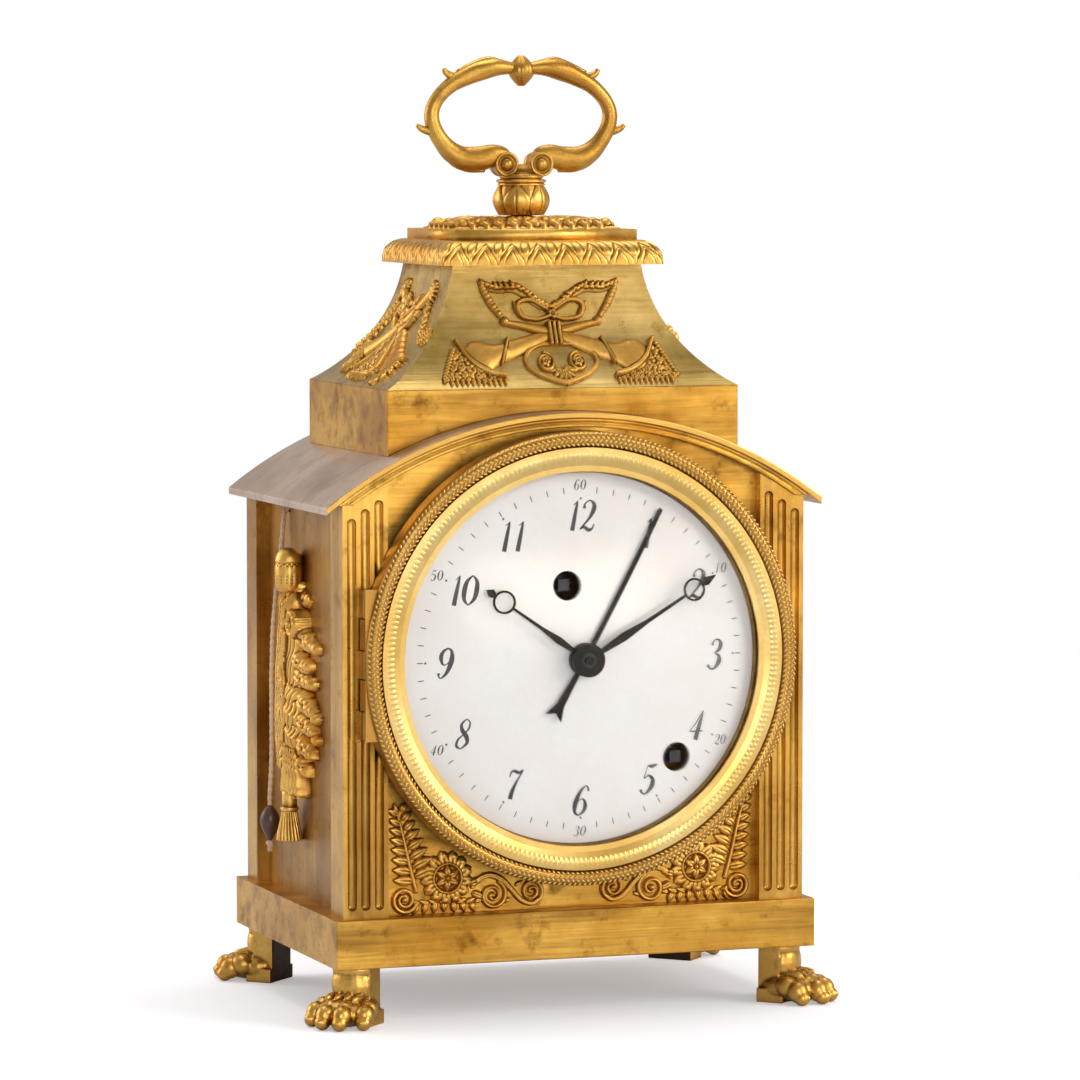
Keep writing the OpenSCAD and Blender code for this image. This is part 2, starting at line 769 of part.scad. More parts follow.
module back_frame() {
    outer_y = back_y - back_recess;
    color("goldenrod") centred() difference() {
        union() {
            difference() {
                under_roof() block([-post_x, frame_y, base_top], [post_x, outer_y, far]);
                slab(frame_y - eps, outer_y + eps) door_outline(0);
            }
            knuckles(door_pin_x, door_pin_y, door_fixed);
            for (s = door_fixed) {
                block([door_pin_x, outer_y - eps, s[0]], [door_pin_x + 3, door_pin_y, s[1]]);
            }
        }
        pin_bore(door_pin_x, door_pin_y);
    }
}

module back_door() {
    outer_y = back_y - back_recess - 0.1;
    color("goldenrod") centred() difference() {
        union() {
            slab(outer_y - door_t, outer_y) door_outline(-side_gap);
            slab(outer_y - eps, outer_y + 0.8) difference() {
                door_outline(-5);
                door_outline(-7);
            }
            knuckles(door_pin_x, door_pin_y, door_moving);
            for (s = door_moving) {
                block([door_pin_x - 3.6, outer_y - eps, s[0]], [door_half - side_gap, door_pin_y, s[1]]);
                block([door_pin_x - 3.6, outer_y + 0.4, s[0]], [door_pin_x, door_pin_y, s[1]]);
            }
        }
        pin_bore(door_pin_x, door_pin_y);
        bar_y(latch_r + run_gap, -far, far, latch_pos);
    }
}

latch_r = 1.5;
latch_pos = [4.1 - door_half, base_top + 51.2];
tongue_l = 6.5;

// Turned knob with a tongue that points up when the door is free
module door_latch() {
    outer_y = back_y - back_recess - 0.1;
    inner_y = frame_y - side_gap;
    color("gold") centred() {
        bar_y(latch_r, inner_y - eps, outer_y + 3, latch_pos);
        bar_y(knob_r, outer_y + 1, outer_y + 4.2, latch_pos);
        slab(inner_y - 1.5, inner_y) translate(latch_pos) {
            circle(r = 2.2);
            translate([-1.6, 0]) square([3.2, tongue_l]);
        }
    }
}

module hinge_pins() {
    color("dimgray") centred() {
        translate([bezel_pin_x, bezel_pin_y, lug_z0]) cylinder(r = hinge_pin_r, h = lug_h);
        for (z = [door_z0, door_z0 + door_gap_z]) {
            translate([door_pin_x, door_pin_y, z]) cylinder(r = hinge_pin_r, h = 3 * door_span - 4);
        }
    }
}

// Roof, attic and top

module barrel_roof() {
    color("tan") centred() slab(-roof_d / 2, roof_d / 2) intersection() {
        translate([0, arc_z]) difference() {
            circle(r = arc_r, $fn = arc_sides);
            circle(r = under_r, $fn = arc_sides);
        }
        translate([-roof_span / 2, arc_z + arc_r / 2]) square([roof_span, far]);
    }
}

module attic_block() {
    inner_w = attic_w / 2 - attic_wall;
    inner_d = attic_d / 2 - attic_wall;
    color("goldenrod") centred() difference() {
        block([-attic_w / 2, -attic_d / 2, eave_z], [attic_w / 2, attic_d / 2, attic_top]);
        block([-inner_w, -inner_d, eave_z - eps], [inner_w, inner_d, attic_top + eps]);
        bar_y(arc_r, -far, far, [0, arc_z], $fn = arc_sides);
    }
}

// Centre of the circle that hollows a side, from the foot and the top of its curve
function hollow_centre(foot, top) = let (
    run = top - foot,
    half = norm(run) / 2,
    out = [-run[1], run[0]] / norm(run) * -1)
    (foot + top) / 2 + out * sqrt(crown_r * crown_r - half * half);
function hollow_x() = hollow_centre([attic_w / 2, attic_top], [crown_w / 2, crown_top]);
function hollow_y() = hollow_centre([attic_d / 2, attic_top], [crown_d / 2, crown_top]);

// Outline between two hollow sides, moved in by the wall
module hollow_outline(wide, centre, wall, top) {
    difference() {
        translate([-wide / 2, attic_top - eps]) square([wide, top - attic_top + eps]);
        for (s = [-1, 1]) translate([s * centre[0], centre[1]]) circle(r = crown_r + wall, $fn = 180);
    }
}

module pagoda(wall, top) {
    intersection() {
        slab(-far, far) hollow_outline(attic_w, hollow_x(), wall, top);
        rotate([0, 0, 90]) slab(-far, far) hollow_outline(attic_d, hollow_y(), wall, top);
    }
}

module pagoda_roof() {
    color("goldenrod") centred() difference() {
        intersection() {
            pagoda(0, crown_top);
            block([-far, -far, attic_top], [far, far, far]);
        }
        pagoda(crown_wall, crown_top - crown_wall);
        cylinder(r = stem_r + run_gap, h = far);
    }
}

// Half outline of a moulding: an upright edge under a quarter round
function moulding(half_w, h) = let (q = h - 1) concat(
    [[-half_w, 0], [half_w, 0]],
    [for (a = [0:10:90]) [half_w - q + q * cos(a), 1 + q * sin(a)]],
    [for (a = [90:-10:0]) [-half_w + q - q * cos(a), 1 + q * sin(a)]]);

module cornice() {
    color("orange") centred() difference() {
        intersection() {
            slab(-far, far) translate([0, crown_top]) polygon(moulding(cornice_w / 2, cornice_h));
            rotate([0, 0, 90]) slab(-far, far) translate([0, crown_top])
                polygon(moulding(cornice_d / 2, cornice_h));
        }
        cylinder(r = stem_r + run_gap, h = far);
    }
}

// Outline of the step with the sloping mound on it
function mound_outline(half_w) = [
    [-half_w, 0], [half_w, 0], [half_w, step_h], [half_w - 3, step_h], [half_w - 4, step_h + 0.6],
    [bud_neck_r + 2, step_h + mound_h - 0.3], [bud_neck_r + 1, step_h + mound_h],
    [-bud_neck_r - 1, step_h + mound_h], [-bud_neck_r - 2, step_h + mound_h - 0.3],
    [4 - half_w, step_h + 0.6], [3 - half_w, step_h], [-half_w, step_h]];

module leaf_mound() {
    color("orange") centred() difference() {
        intersection() {
            slab(-far, far) translate([0, cornice_top]) polygon(mound_outline(step_w / 2));
            rotate([0, 0, 90]) slab(-far, far) translate([0, cornice_top])
                polygon(mound_outline(step_d / 2));
        }
        cylinder(r = stem_r + run_gap, h = far);
    }
}

module bud_finial() {
    color("orange") centred() translate([0, 0, mound_top]) difference() {
        rotate_extrude() polygon(concat(
            [[0, 0]],
            [for (i = [0:12]) let (t = i / 12)
                [bud_neck_r + (bud_r - bud_neck_r) * sin(180 * t), bud_h * t]],
            [[collar_r, bud_h], [collar_r, bud_h + collar_h], [0, bud_h + collar_h]]));
        translate([0, 0, -eps]) cylinder(r = stem_r + run_gap, h = far);
    }
}

// Handle: a flattened loop that closes on two volutes
handle_half = handle_w / 2 - bar_t / 2;
loop_top = handle_top - ball_h / 2 + 0.35;
volute_z = collar_top + 3.9;
volute_x = 4;
loop_low = volute_z + 0.4;
loop_mid = (loop_top + loop_low) / 2;
loop_rise = (loop_top - loop_low) / 2;
function oval(v) = sign(v) * pow(abs(v), 0.8);
function loop_point(a) = [handle_half * oval(sin(a)), 0, loop_mid + loop_rise * oval(cos(a))];
function swell(v, at, spread) = exp(-pow((v - at) / spread, 2));
function loop_radius(a) = let (x = abs(loop_point(a)[0]))
    bar_t / 2 + (cos(a) > 0 ? 0.9 * swell(x, 8.5, 4) : 1.15 * swell(x, 12, 5));
volute_angle = 180 - asin(pow(volute_x / handle_half, 1.25));

module handle() {
    steps = 44;
    angles = [for (i = [0:steps]) -volute_angle + 2 * volute_angle * i / steps];
    color("orange") centred() difference() {
        union() {
            tube([for (a = angles) loop_point(a)], [for (a = angles) loop_radius(a)], 12);
            for (s = [-1, 1]) {
                bar_y(volute_r, -volute_d / 2, volute_d / 2, [s * volute_x, volute_z], $fn = 48);
                bar_y(1.1, -volute_d / 2 - 0.8, volute_d / 2 + 0.8, [s * volute_x, volute_z], $fn = 24);
                slab(-0.9, 0.9) polygon(leaf([s * handle_half, loop_mid - 2.2], 90 - s * 104, 4.2, 3));
            }
            translate([0, 0, handle_top - ball_h / 2]) sphere(r = ball_h / 2 - 0.7, $fn = 32);
            translate([0, 0, handle_top - ball_h]) cylinder(r = 1.3, h = ball_h, $fn = 24);
            block([-volute_x, -volute_d / 2, collar_top], [volute_x, volute_d / 2, volute_z]);
            translate([0, 0, collar_top]) cylinder(r = collar_r - 0.6, h = 1.3, $fn = 48);
        }
        translate([0, 0, collar_top - eps]) cylinder(r = stem_r + run_gap, h = 3.2, $fn = 48);
    }
}

module handle_stem() {
    nut_h = 3;
    low = crown_top - crown_wall - nut_h;
    color("dimgray") centred() {
        translate([0, 0, low - 1]) cylinder(r = stem_r, h = collar_top + 2.9 - low);
        translate([0, 0, low]) cylinder(r = 4.2, h = nut_h, $fn = 6);
    }
}

// Ornaments

rosette_x = 11.5 - post_x;
rosette_z = 7.2;

// Corner ornament at the left of the front plate, drawn from the plinth's top
module spandrel_flat() {
    in_x = -post_x;
    polygon(band(scroll([in_x + 3.6, 4.4], 3.1, 0.6, -90, 450), [1.1]));
    polygon(band(scroll([-22.4, 4.6], 3.4, 0.6, 120, 660), [1.2]));
    polygon(band(scroll([-12.6, 4.2], 2.6, 0.5, 250, -250), [1]));
    polygon(band([[-24.4, 7.4], [-20.5, 8.2], [-17.6, 5.6], [-14.6, 2.4], [-12, 1.6]], [1.2]));
    translate([in_x, 0]) square([18, 1.4]);
    translate([rosette_x, rosette_z]) difference() {
        circle(r = 6.2);
        circle(r = 3.6);
    }
    for (k = [0:5]) translate([rosette_x, rosette_z]) rotate(k * 60) translate([1.9, 0]) circle(r = 1.55);
    for (k = [0:9]) polygon(leaf([rosette_x, rosette_z], 18 + k * 36, 8, 2.6));
    polygon(band([[in_x + 6, 6], [in_x + 3.6, 11], [in_x + 2.4, 17], [in_x + 2.2, 24]], [1.3, 1.1, 0.9, 0.6]));
    for (k = [0:5]) {
        polygon(leaf([in_x + 3.9 - 0.3 * k, 9.6 + 2.5 * k], 28 + 6 * k, 5.4 - 0.45 * k, 1.7));
        polygon(leaf([in_x + 3.9 - 0.3 * k, 9.6 + 2.5 * k], 142 - 5 * k, 3.4 - 0.2 * k, 1.5));
    }
    polygon(leaf([in_x + 17, 4.6], -8, 6, 2.6));
}

module spandrel(sx) {
    color("darkorange") centred() intersection() {
        mirror([sx > 0 ? 1 : 0, 0, 0]) translate([0, 0, base_top]) {
            slab(plate_y - spandrel_t, plate_y) spandrel_flat();
            bar_y(1.6, plate_y - spandrel_t - 0.5, plate_y, [rosette_x, rosette_z]);
        }
        block([-post_x, -far, base_top], [post_x, far, far]);
    }
}

// Trophy of two crossed horns with a tie, a garland, flowers and a pair of rosettes
module horns_flat() {
    for (s = [-1, 1]) {
        polygon(band([[-10.8 * s, 14.4], [-6 * s, 13.2], [0, 12], [6 * s, 10], [11 * s, 8], [16.5 * s, 6.2]],
            [1.2, 1.7, 2.3, 3, 3.8, 6.6]));
        translate([-11.1 * s, 14.5]) circle(r = 1);
        polygon(band([[-11 * s, 14.2], [-13.6 * s, 18.2], [-16 * s, 23.2]], [1.5, 1.3, 1]));
        polygon(band([[-16 * s, 22.6], [-11.5 * s, 22.2], [-7.4 * s, 21.8], [-3.4 * s, 19.6], [0.8 * s, 18.2]],
            [1.2, 2, 2.6, 2, 1.6]));
        translate([-4.4 * s, 17.2]) difference() {
            circle(r = 3.2, $fn = 32);
            circle(r = 2.1, $fn = 32);
        }
        polygon([[14 * s, 4.2], [20.5 * s, 8.6], [23.6 * s, 8.8], [28 * s, 3], [26 * s, 1.6], [12.6 * s, 2.4]]);
        polygon(band(scroll([4 * s, 5.4], 2.7, 0.9, 90, 90 + s * 450), [0.9]));
        polygon(band([[0, 9], [4.8 * s, 8.6], [8 * s, 6.4], [7.4 * s, 3.6], [3.4 * s, 2], [0, 1]], [1]));
    }
    polygon(leaf([0, 0.6], 90, 16, 3.4));
}

module front_trophy() {
    c = hollow_y();
    color("darkorange") centred() intersection() {
        translate([0, 0, attic_top + 0.6]) {
            slab(-attic_d / 2, 0) horns_flat();
            bar_y(2.4, -attic_d / 2, 0, [0, 12]);
        }
        translate([0, -c[0], c[1]]) rotate([0, 90, 0]) translate([0, 0, -far / 2]) difference() {
            cylinder(r = crown_r, h = far, $fn = 180);
            translate([0, 0, -eps]) cylinder(r = crown_r - trophy_t, h = far + 1, $fn = 180);
        }
        block([-far, -attic_d / 2, attic_top + 0.4], [far, 0, crown_top]);
    }
}

// Trophy of a quiver, a leafy spray and ribbons, for the sides of the pagoda roof
module quiver_flat() {
    polygon(band([[7, 22], [3, 16.5], [-2, 11.5], [-8, 7.6]], [4.4, 3.6, 3.2, 4.4]));
    polygon(band([[-9.5, 21], [-4, 16], [2, 12.4], [9, 8.6], [15, 6.4]], [3.4, 3, 2.8, 3.6, 5]));
    polygon(band([[-8.5, 7], [-9.4, 13.4], [-6.4, 20]], [1, 1.6, 1]));
    polygon(band([[15, 6], [14, 13.6], [7.4, 20.6]], [1.6, 1, 1.4]));
    polygon(band([[-12, 3.4], [-4, 2.6], [4, 3.4], [14, 3]], [1.4, 3.4, 3, 2]));
    for (k = [0:4]) polygon(leaf([-5 + 3.4 * k, 2.6], 120 - 16 * k, 9, 3));
}

module side_trophy(sx) {
    c = hollow_x();
    color("darkorange") centred() intersection() {
        rotate([0, 0, 90]) translate([0, 0, attic_top + 0.6]) {
            slab(sx < 0 ? 0 : -attic_w / 2, sx < 0 ? attic_w / 2 : 0) quiver_flat();
            bar_y(2.8, sx < 0 ? 0 : -attic_w / 2, sx < 0 ? attic_w / 2 : 0, [0.6, 13.6]);
        }
        translate([sx * c[0], far / 2, c[1]]) rotate([90, 0, 0]) difference() {
            cylinder(r = crown_r, h = far, $fn = 180);
            translate([0, 0, -eps]) cylinder(r = crown_r - trophy_t, h = far + 1, $fn = 180);
        }
        block([sx < 0 ? -attic_w / 2 : 0, -far, attic_top + 0.4],
            [sx < 0 ? 0 : attic_w / 2, far, crown_top]);
    }
}

// Hanging trophy on a side panel, drawn as y and height over the plinth, in three steps of relief
module pendant_low() {
    polygon([[-0.4, 69], [-5.6, 66], [-5, 60], [-12, 58], [-12.8, 55.4], [-8.2, 53], [-10.6, 50.6],
        [-10.4, 47.6], [-7.2, 45.6], [-12.8, 43.4], [-13, 38.4], [-11.6, 36.4], [-8.4, 35], [-8, 30],
        [-5.6, 24.4], [0, 22], [6.4, 22], [9.4, 27], [11, 34], [11.4, 42], [10.2, 49], [9.2, 57],
        [8.6, 64], [6.4, 69]]);
    translate([pendant_y, 73.6]) circle(r = 6);
    for (k = [0:2]) polygon(leaf([-4, 36 + 4.4 * k], 192 + 6 * k, 9, 4.2));
}

module pendant_mid() {
    polygon([[-0.6, 68], [-3, 62], [-2.6, 54], [-5, 48], [-2.4, 44], [-5, 38], [-3.6, 30], [-1, 24.6],
        [6, 24.6], [8.2, 32], [9.4, 40], [8.2, 50], [7.2, 60], [5.8, 68]]);
    translate([pendant_y, 73.6]) circle(r = 4.3);
}

module pendant_high() {
    polygon([[1.4, 66], [0.8, 54], [1.2, 44], [-0.4, 34], [1.4, 27], [5.2, 27], [6.6, 34], [7, 42],
        [5.4, 54], [4.6, 66]]);
    translate([pendant_y, 73.6]) circle(r = 2.4);
}

module pendant(sx) {
    color("darkorange") centred() translate([sx * panel_x, 0, base_top]) {
        rotate([0, 0, 90]) for (s = [0:2]) {
            t = [0.45, 0.75, 1][s] * pendant_t;
            slab(sx < 0 ? 0 : -t, sx < 0 ? t : 0) {
                if (s == 0) pendant_low();
                if (s == 1) pendant_mid();
                if (s == 2) pendant_high();
            }
        }
        intersection() {
            translate([sx * tassel_r, pendant_y, tassel_low]) rotate_extrude($fn = 48)
                polygon([[0, 0], [tassel_r - 0.3, 0], [tassel_r, 0.9], [tassel_r - 0.3, 2.6],
                    [tassel_r - 1.1, 5.6], [tassel_r - 1.3, 7], [tassel_r - 0.8, 7.4],
                    [tassel_r - 0.8, 8.2], [tassel_r - 1.4, 8.6], [tassel_r - 1.2, 11.6], [0, 11.6]]);
            block([sx < 0 ? -far : 0, -far, 0], [sx < 0 ? 0 : far, far, far]);
        }
    }
}

// Bezel, glass and dial

module bezel_outline() {
    back = -bezel_back_y;
    front = -bezel_front_y;
    rope_r = rope_w / 2;
    rope_h = front - rope_r + 0.35;
    inner = bezel_r - rope_w;
    ramp = inner - sight_r;
    polygon(concat(
        [[seat_r, back], [bezel_r, back], [bezel_r, rope_h]],
        [for (a = [15:15:165]) [bezel_r - rope_r + rope_r * cos(a), rope_h + rope_r * sin(a)]],
        [for (i = [0:8]) let (t = i / 8) [inner - 0.1 - ramp * 0.75 * t, front - 0.1 + 0.25 * sin(200 * t) - 0.5 * t]],
        [[sight_r, front - 0.75], [sight_r, -lip_y], [seat_r, -lip_y]]));
}

module bezel() {
    color("gold") centred() difference() {
        union() {
            turned() bezel_outline();
            block([-bezel_r, rim_keep - 0.4, lug_z0], [3.4 - bezel_r, bezel_back_y, lug_z0 + lug_h]);
        }
        dial_bar(seat_r, lip_y, far);
        for (s = bezel_fixed) {
            block([-bezel_r - 1, rim_keep, s[0] - side_gap], [bezel_pin_x + knuckle_r + 0.6, 0, s[1] + side_gap]);
        }
        pin_bore(bezel_pin_x, bezel_pin_y);
        block([-far, -far, -far], [far, far, lug_z0 - far]);
    }
}

module bezel_glass() {
    centre_h = -glass_in_y - glass_ball_r;
    color("white", 0.35) centred() turned() difference() {
        union() {
            intersection() {
                translate([0, centre_h]) circle(r = glass_ball_r + glass_t, $fn = 360);
                translate([0, -lip_y - flange_t / 2]) square([sight_r - 0.15, far]);
            }
            translate([0, -lip_y - flange_t]) square([seat_r - run_gap, flange_t]);
        }
        translate([0, centre_h]) circle(r = glass_ball_r, $fn = 360);
        square([glass_edge_r - 0.4, -lip_y]);
        translate([-far, -far]) square([far, 2 * far]);
    }
}

module dial() {
    centre_h = -dial_apex_y - dial_ball_r;
    color("ivory") centred() {
        difference() {
            turned() difference() {
                intersection() {
                    translate([0, centre_h]) circle(r = dial_ball_r, $fn = 360);
                    translate([0, -dial_edge_y - dial_t]) square([dial_r, far]);
                }
                translate([0, centre_h]) circle(r = dial_ball_r - dial_t, $fn = 360);
                square([dial_r - 5, -dial_edge_y]);
            }
            dial_bar(dial_hole_r, -far, far);
            for (p = [going_pos, alarm_pos]) dial_bar(winding_hole_r, -far, far, p);
        }
        for (p = dial_feet) dial_bar(foot_pin_r, dial_edge_y, move_y1, p);
    }
}

// Hands, drawn pointing up and turned to ten past ten

hour_angle = 305;
minute_angle = 60;
alarm_angle = 29.8;

// Bent like the dial, so that its point clears both the dial and the glass
module hand(angle, lift) {
    centre_h = -dial_apex_y - dial_ball_r;
    intersection() {
        translate([0, 0, dial_z]) rotate([0, angle, 0])
            slab(dial_apex_y - lift - hand_t, dial_edge_y - lift) children();
        turned() intersection() {
            translate([0, centre_h]) difference() {
                circle(r = dial_ball_r + lift + hand_t, $fn = 720);
                circle(r = dial_ball_r + lift, $fn = 720);
            }
            square([dial_r, far]);
        }
    }
}

// Stem, ring and point of a hand with a hollow moon
module moon_hand(l, boss, w) {
    moon = l * 0.825;
    circle(r = boss);
    polygon(band([[0, boss - 0.5], [0, l * 0.28], [0, l * 0.45], [0, moon - moon_r + 0.3]], [w * 0.8, w * 1.5, w * 0.7, w * 0.45]));
    translate([0, moon]) difference() {
        circle(r = moon_r);
        circle(r = moon_r - 0.45);
    }
    polygon([[-0.5, moon + moon_r - 0.2], [-1, moon + moon_r + 1], [0, l], [1, moon + moon_r + 1], [0.5, moon + moon_r - 0.2]]);
}

module hour_hand() {
    color("darkslategray") centred() difference() {
        union() {
            hand(hour_angle, hour_lift) moon_hand(hour_len, boss_r, 1.1);
            dial_bar(boss_r, hour_hand_y - hand_t - 0.1, hour_hand_y + 0.1);
        }
        dial_bar(hour_out, -far, far);
    }
}

module minute_hand() {
    color("darkslategray") centred() difference() {
        union() {
            hand(minute_angle, minute_lift) moon_hand(minute_len, boss_r - 0.5, 1.3);
            dial_bar(boss_r, minute_hand_y - hand_t - minute_boss, minute_hand_y - hand_t + 0.1);
        }
        dial_bar(cannon_out, -far, far);
    }
}

module alarm_hand() {
    color("darkslategray") centred() difference() {
        union() {
            hand(alarm_angle, alarm_lift) {
                polygon(band([[0, 0], [0, alarm_len]], [1.1, 0.9]));
                polygon([[-0.4, 0], [-0.9, 3.2 - tail_len], [-2, -tail_len], [0, 1.2 - tail_len],
                    [2, -tail_len], [0.9, 3.2 - tail_len], [0.4, 0]]);
            }
            dial_bar(boss_r, alarm_hand_y - hand_t - 0.1, alarm_hand_y + 0.1);
        }
        dial_bar(alarm_out, -far, far);
    }
}

// Motion work in front of the movement

module cannon_pinion() {
    color("silver") centred() difference() {
        union() {
            dial_bar(cannon_out, minute_hand_y - hand_t - minute_boss, cannon_y);
            gear(cannon_teeth, minute_module, 0, cannon_y, cannon_y + cannon_t, [0, 0]);
        }
        dial_bar(cannon_in, -far, far);
    }
}

module minute_wheel() {
    color("khaki") centred() difference() {
        union() {
            gear(minute_teeth, minute_module, minute_wheel_turn, cannon_y, cannon_y + cannon_t, motion_pos);
            gear(minute_pinion_teeth, hour_module, 0, hour_wheel_y - 0.3, cannon_y + eps, motion_pos);
        }
        dial_bar(0.9 + run_gap, -far, far, motion_pos);
        crossings(4, 4.8, 1.6, cannon_y, cannon_y + cannon_t, motion_pos);
    }
}

module hour_wheel() {
    color("khaki") centred() difference() {
        union() {
            dial_bar(hour_out, hour_hand_y - hand_t, hour_wheel_y + 0.5);
            gear(hour_teeth, hour_module, hour_wheel_turn, hour_wheel_y, hour_wheel_y + hour_wheel_t, [0, 0]);
        }
        dial_bar(hour_in, -far, far);
        crossings(4, 5, 1.6, hour_wheel_y, hour_wheel_y + hour_wheel_t, [0, 0]);
    }
}

// Disc with a notch that lets off the alarm
module alarm_wheel() {
    color("khaki") centred() difference() {
        union() {
            dial_bar(alarm_out, alarm_hand_y - hand_t, alarm_wheel_y);
            dial_bar(alarm_wheel_r, alarm_wheel_y, alarm_wheel_y + alarm_wheel_t);
        }
        dial_bar(alarm_in, -far, far);
        dial_bar(1.2, -far, far, toward([0, 0], 90 - alarm_angle, alarm_wheel_r));
    }
}

// Movement plates, pillars and train

pillar_at = [plate_w / 2 - pillar_inset, plate_h / 2 - pillar_inset];
function pillar_place(sx, sz) = [sx * pillar_at[0], sz * pillar_at[1]];

module plate_holes() {
    for (p = [third_pos, fourth_pos, escape_pos]) dial_bar(pivot_r + run_gap, -far, far, p);
    for (sx = [-1, 1], sz = [-1, 1]) {
        dial_bar(screw_r * 0.6 + run_gap, -far, far, pillar_place(sx, sz));
    }
}

module front_movement_plate() {
    color("khaki") centred() {
        difference() {
            dial_slab(move_y0, move_y1) square([plate_w, plate_h], center = true);
            plate_holes();
            dial_bar(arbor_front_r + run_gap, -far, far);
            dial_bar(staff_r + run_gap, -far, far, balance_pos);
            for (p = [going_pos, alarm_pos]) dial_bar(barrel_arbor_r + run_gap, -far, far, p);
            for (p = dial_feet) dial_bar(foot_pin_r + run_gap, -far, far, p);
        }
        dial_bar(0.9, hour_wheel_y - 0.5, move_y0 + eps, motion_pos);
    }
}

module back_movement_plate() {
    color("khaki") centred() {
        difference() {
            dial_slab(move_y2, move_y3) square([plate_w, plate_h], center = true);
            plate_holes();
            dial_bar(pivot_r + run_gap, -far, far);
            dial_bar(cylinder_r + 0.4, -far, far, balance_pos);
            for (p = [going_pos, alarm_pos]) dial_bar(pivot_r * 2 + run_gap, -far, far, p);
        }
        dial_bar(bell_post_r, move_y3 - eps, bell_y + bell_d - bell_t - 0.15, bell_pos);
        dial_bar(bell_tip_r, move_y3, bell_y + bell_d + 1, bell_pos);
        for (p = [[lever_x, cord_z - lever_drop - dial_z], hammer_pos]) {
            dial_bar(stud_r, move_y3 - eps, lever_y + lever_t + 0.2, p);
            dial_bar(stud_r + 0.6, lever_y + lever_t + 0.2, lever_y + lever_t + 0.8, p);
            dial_bar(stud_r + 0.6, move_y3 - eps, lever_y - 0.2, p);
        }
    }
}

module movement_pillars() {
    color("khaki") centred() for (sx = [-1, 1], sz = [-1, 1]) {
        p = pillar_place(sx, sz);
        dial_bar(pillar_r, move_y1, move_y2, p);
        dial_bar(screw_r * 0.6, move_y0, move_y3 + 1, p);
        dial_bar(pillar_r - 0.4, move_y3, move_y3 + 1, p);
    }
}

module going_barrel() {
    drum_y = great_y + great_t;
    color("khaki") centred() difference() {
        union() {
            gear(great_teeth, great_module, great_turn, great_y, drum_y, going_pos);
            dial_bar(going_drum_r, drum_y - eps, drum_y + drum_len, going_pos);
        }
        dial_bar(barrel_arbor_r + run_gap, -far, far, going_pos);
        dial_bar(going_drum_r - 1, drum_y, drum_y + drum_len - 0.8, going_pos);
    }
}

module winding_square(at) {
    dial_bar(barrel_arbor_r, move_y0 - 4, move_y2 - 0.2, at);
    dial_bar(pivot_r * 2, move_y0, move_y3, at);
    translate([0, 0, dial_z]) slab(square_end_y, move_y0 - 4 + eps) translate(at) square(square_w, center = true);
}

module going_arbor() {
    color("silver") centred() {
        winding_square(going_pos);
        translate([going_pos[0], 0, dial_z + going_pos[1]]) slab(move_y0 - 1.4, move_y0 - 0.2)
            polygon([for (k = [0:19], s = [0, 1]) let (a = k * 18 + s * 3) (4.4 - s) * [cos(a), sin(a)]]);
    }
}

module alarm_arbor() {
    color("silver") centred() {
        winding_square(alarm_pos);
        dial_bar(alarm_drum_r, great_y + 2, great_y + 2 + drum_len, alarm_pos);
    }
}

module centre_wheel() {
    color("khaki") centred() difference() {
        union() {
            dial_bar(arbor_front_r, arbor_end_y, move_y1 + 0.3);
            dial_bar(arbor_r, move_y1 + 0.2, move_y2 - 0.2);
            dial_bar(pivot_r, move_y2 - 0.3, move_y3);
            gear(centre_pinion_teeth, great_module, centre_pinion_turn,
                great_y - pinion_over, great_y + great_t + pinion_over / 2, [0, 0]);
            gear(centre_teeth, centre_module, 0, centre_wheel_y, centre_wheel_y + wheel_t, [0, 0]);
        }
        crossings(6, 7.4, 2.6, centre_wheel_y, centre_wheel_y + wheel_t, [0, 0]);
    }
}

module third_wheel() {
    color("khaki") centred() difference() {
        union() {
            arbor(third_pos);
            gear(third_pinion_teeth, centre_module, third_pinion_turn,
                centre_wheel_y - pinion_over, centre_wheel_y + wheel_t + pinion_over, third_pos);
            gear(third_teeth, third_module, 0, third_wheel_y, third_wheel_y + wheel_t, third_pos);
        }
        crossings(6, 6, 2.1, third_wheel_y, third_wheel_y + wheel_t, third_pos);
    }
}

module fourth_wheel() {
    color("khaki") centred() difference() {
        union() {
            arbor(fourth_pos, pivot_r + 0.3);
            gear(fourth_pinion_teeth, third_module, fourth_pinion_turn,
                third_wheel_y - pinion_over, third_wheel_y + wheel_t + pinion_over, fourth_pos);
            gear(fourth_teeth, fourth_module, 0, fourth_wheel_y, fourth_wheel_y + wheel_t, fourth_pos);
        }
        crossings(6, 5, 1.7, fourth_wheel_y, fourth_wheel_y + wheel_t, fourth_pos);
    }
}

module escape_wheel() {
    color("khaki") centred() {
        arbor(escape_pos, pivot_r + 0.2);
        gear(escape_pinion_teeth, fourth_module, escape_pinion_turn,
            fourth_wheel_y - pinion_over, fourth_wheel_y + wheel_t + pinion_over, escape_pos);
        translate([escape_pos[0], 0, dial_z + escape_pos[1]]) slab(escape_wheel_y, escape_wheel_y + 1)
            polygon([for (k = [0:escape_teeth - 1], s = [0, 1]) let (a = (k + s * 0.2) * 360 / escape_teeth)
                (escape_r - s * 1.6) * [cos(a), sin(a)]]);
    }
}

// Balance with the cylinder that stands beside the escape wheel
module balance_wheel() {
    color("khaki") centred() {
        dial_bar(staff_r, move_y0, cock_y + cock_t - 0.4, balance_pos);
        dial_bar(cylinder_r, escape_wheel_y - 0.8, escape_wheel_y + 1.8, balance_pos);
        translate([balance_pos[0], 0, dial_z + balance_pos[1]]) slab(balance_y, balance_y + balance_t) {
            difference() {
                circle(r = balance_r);
                circle(r = balance_r - 1.2);
            }
            square([2 * balance_r - 1, 1.4], center = true);
            circle(r = 1.8);
        }
    }
}

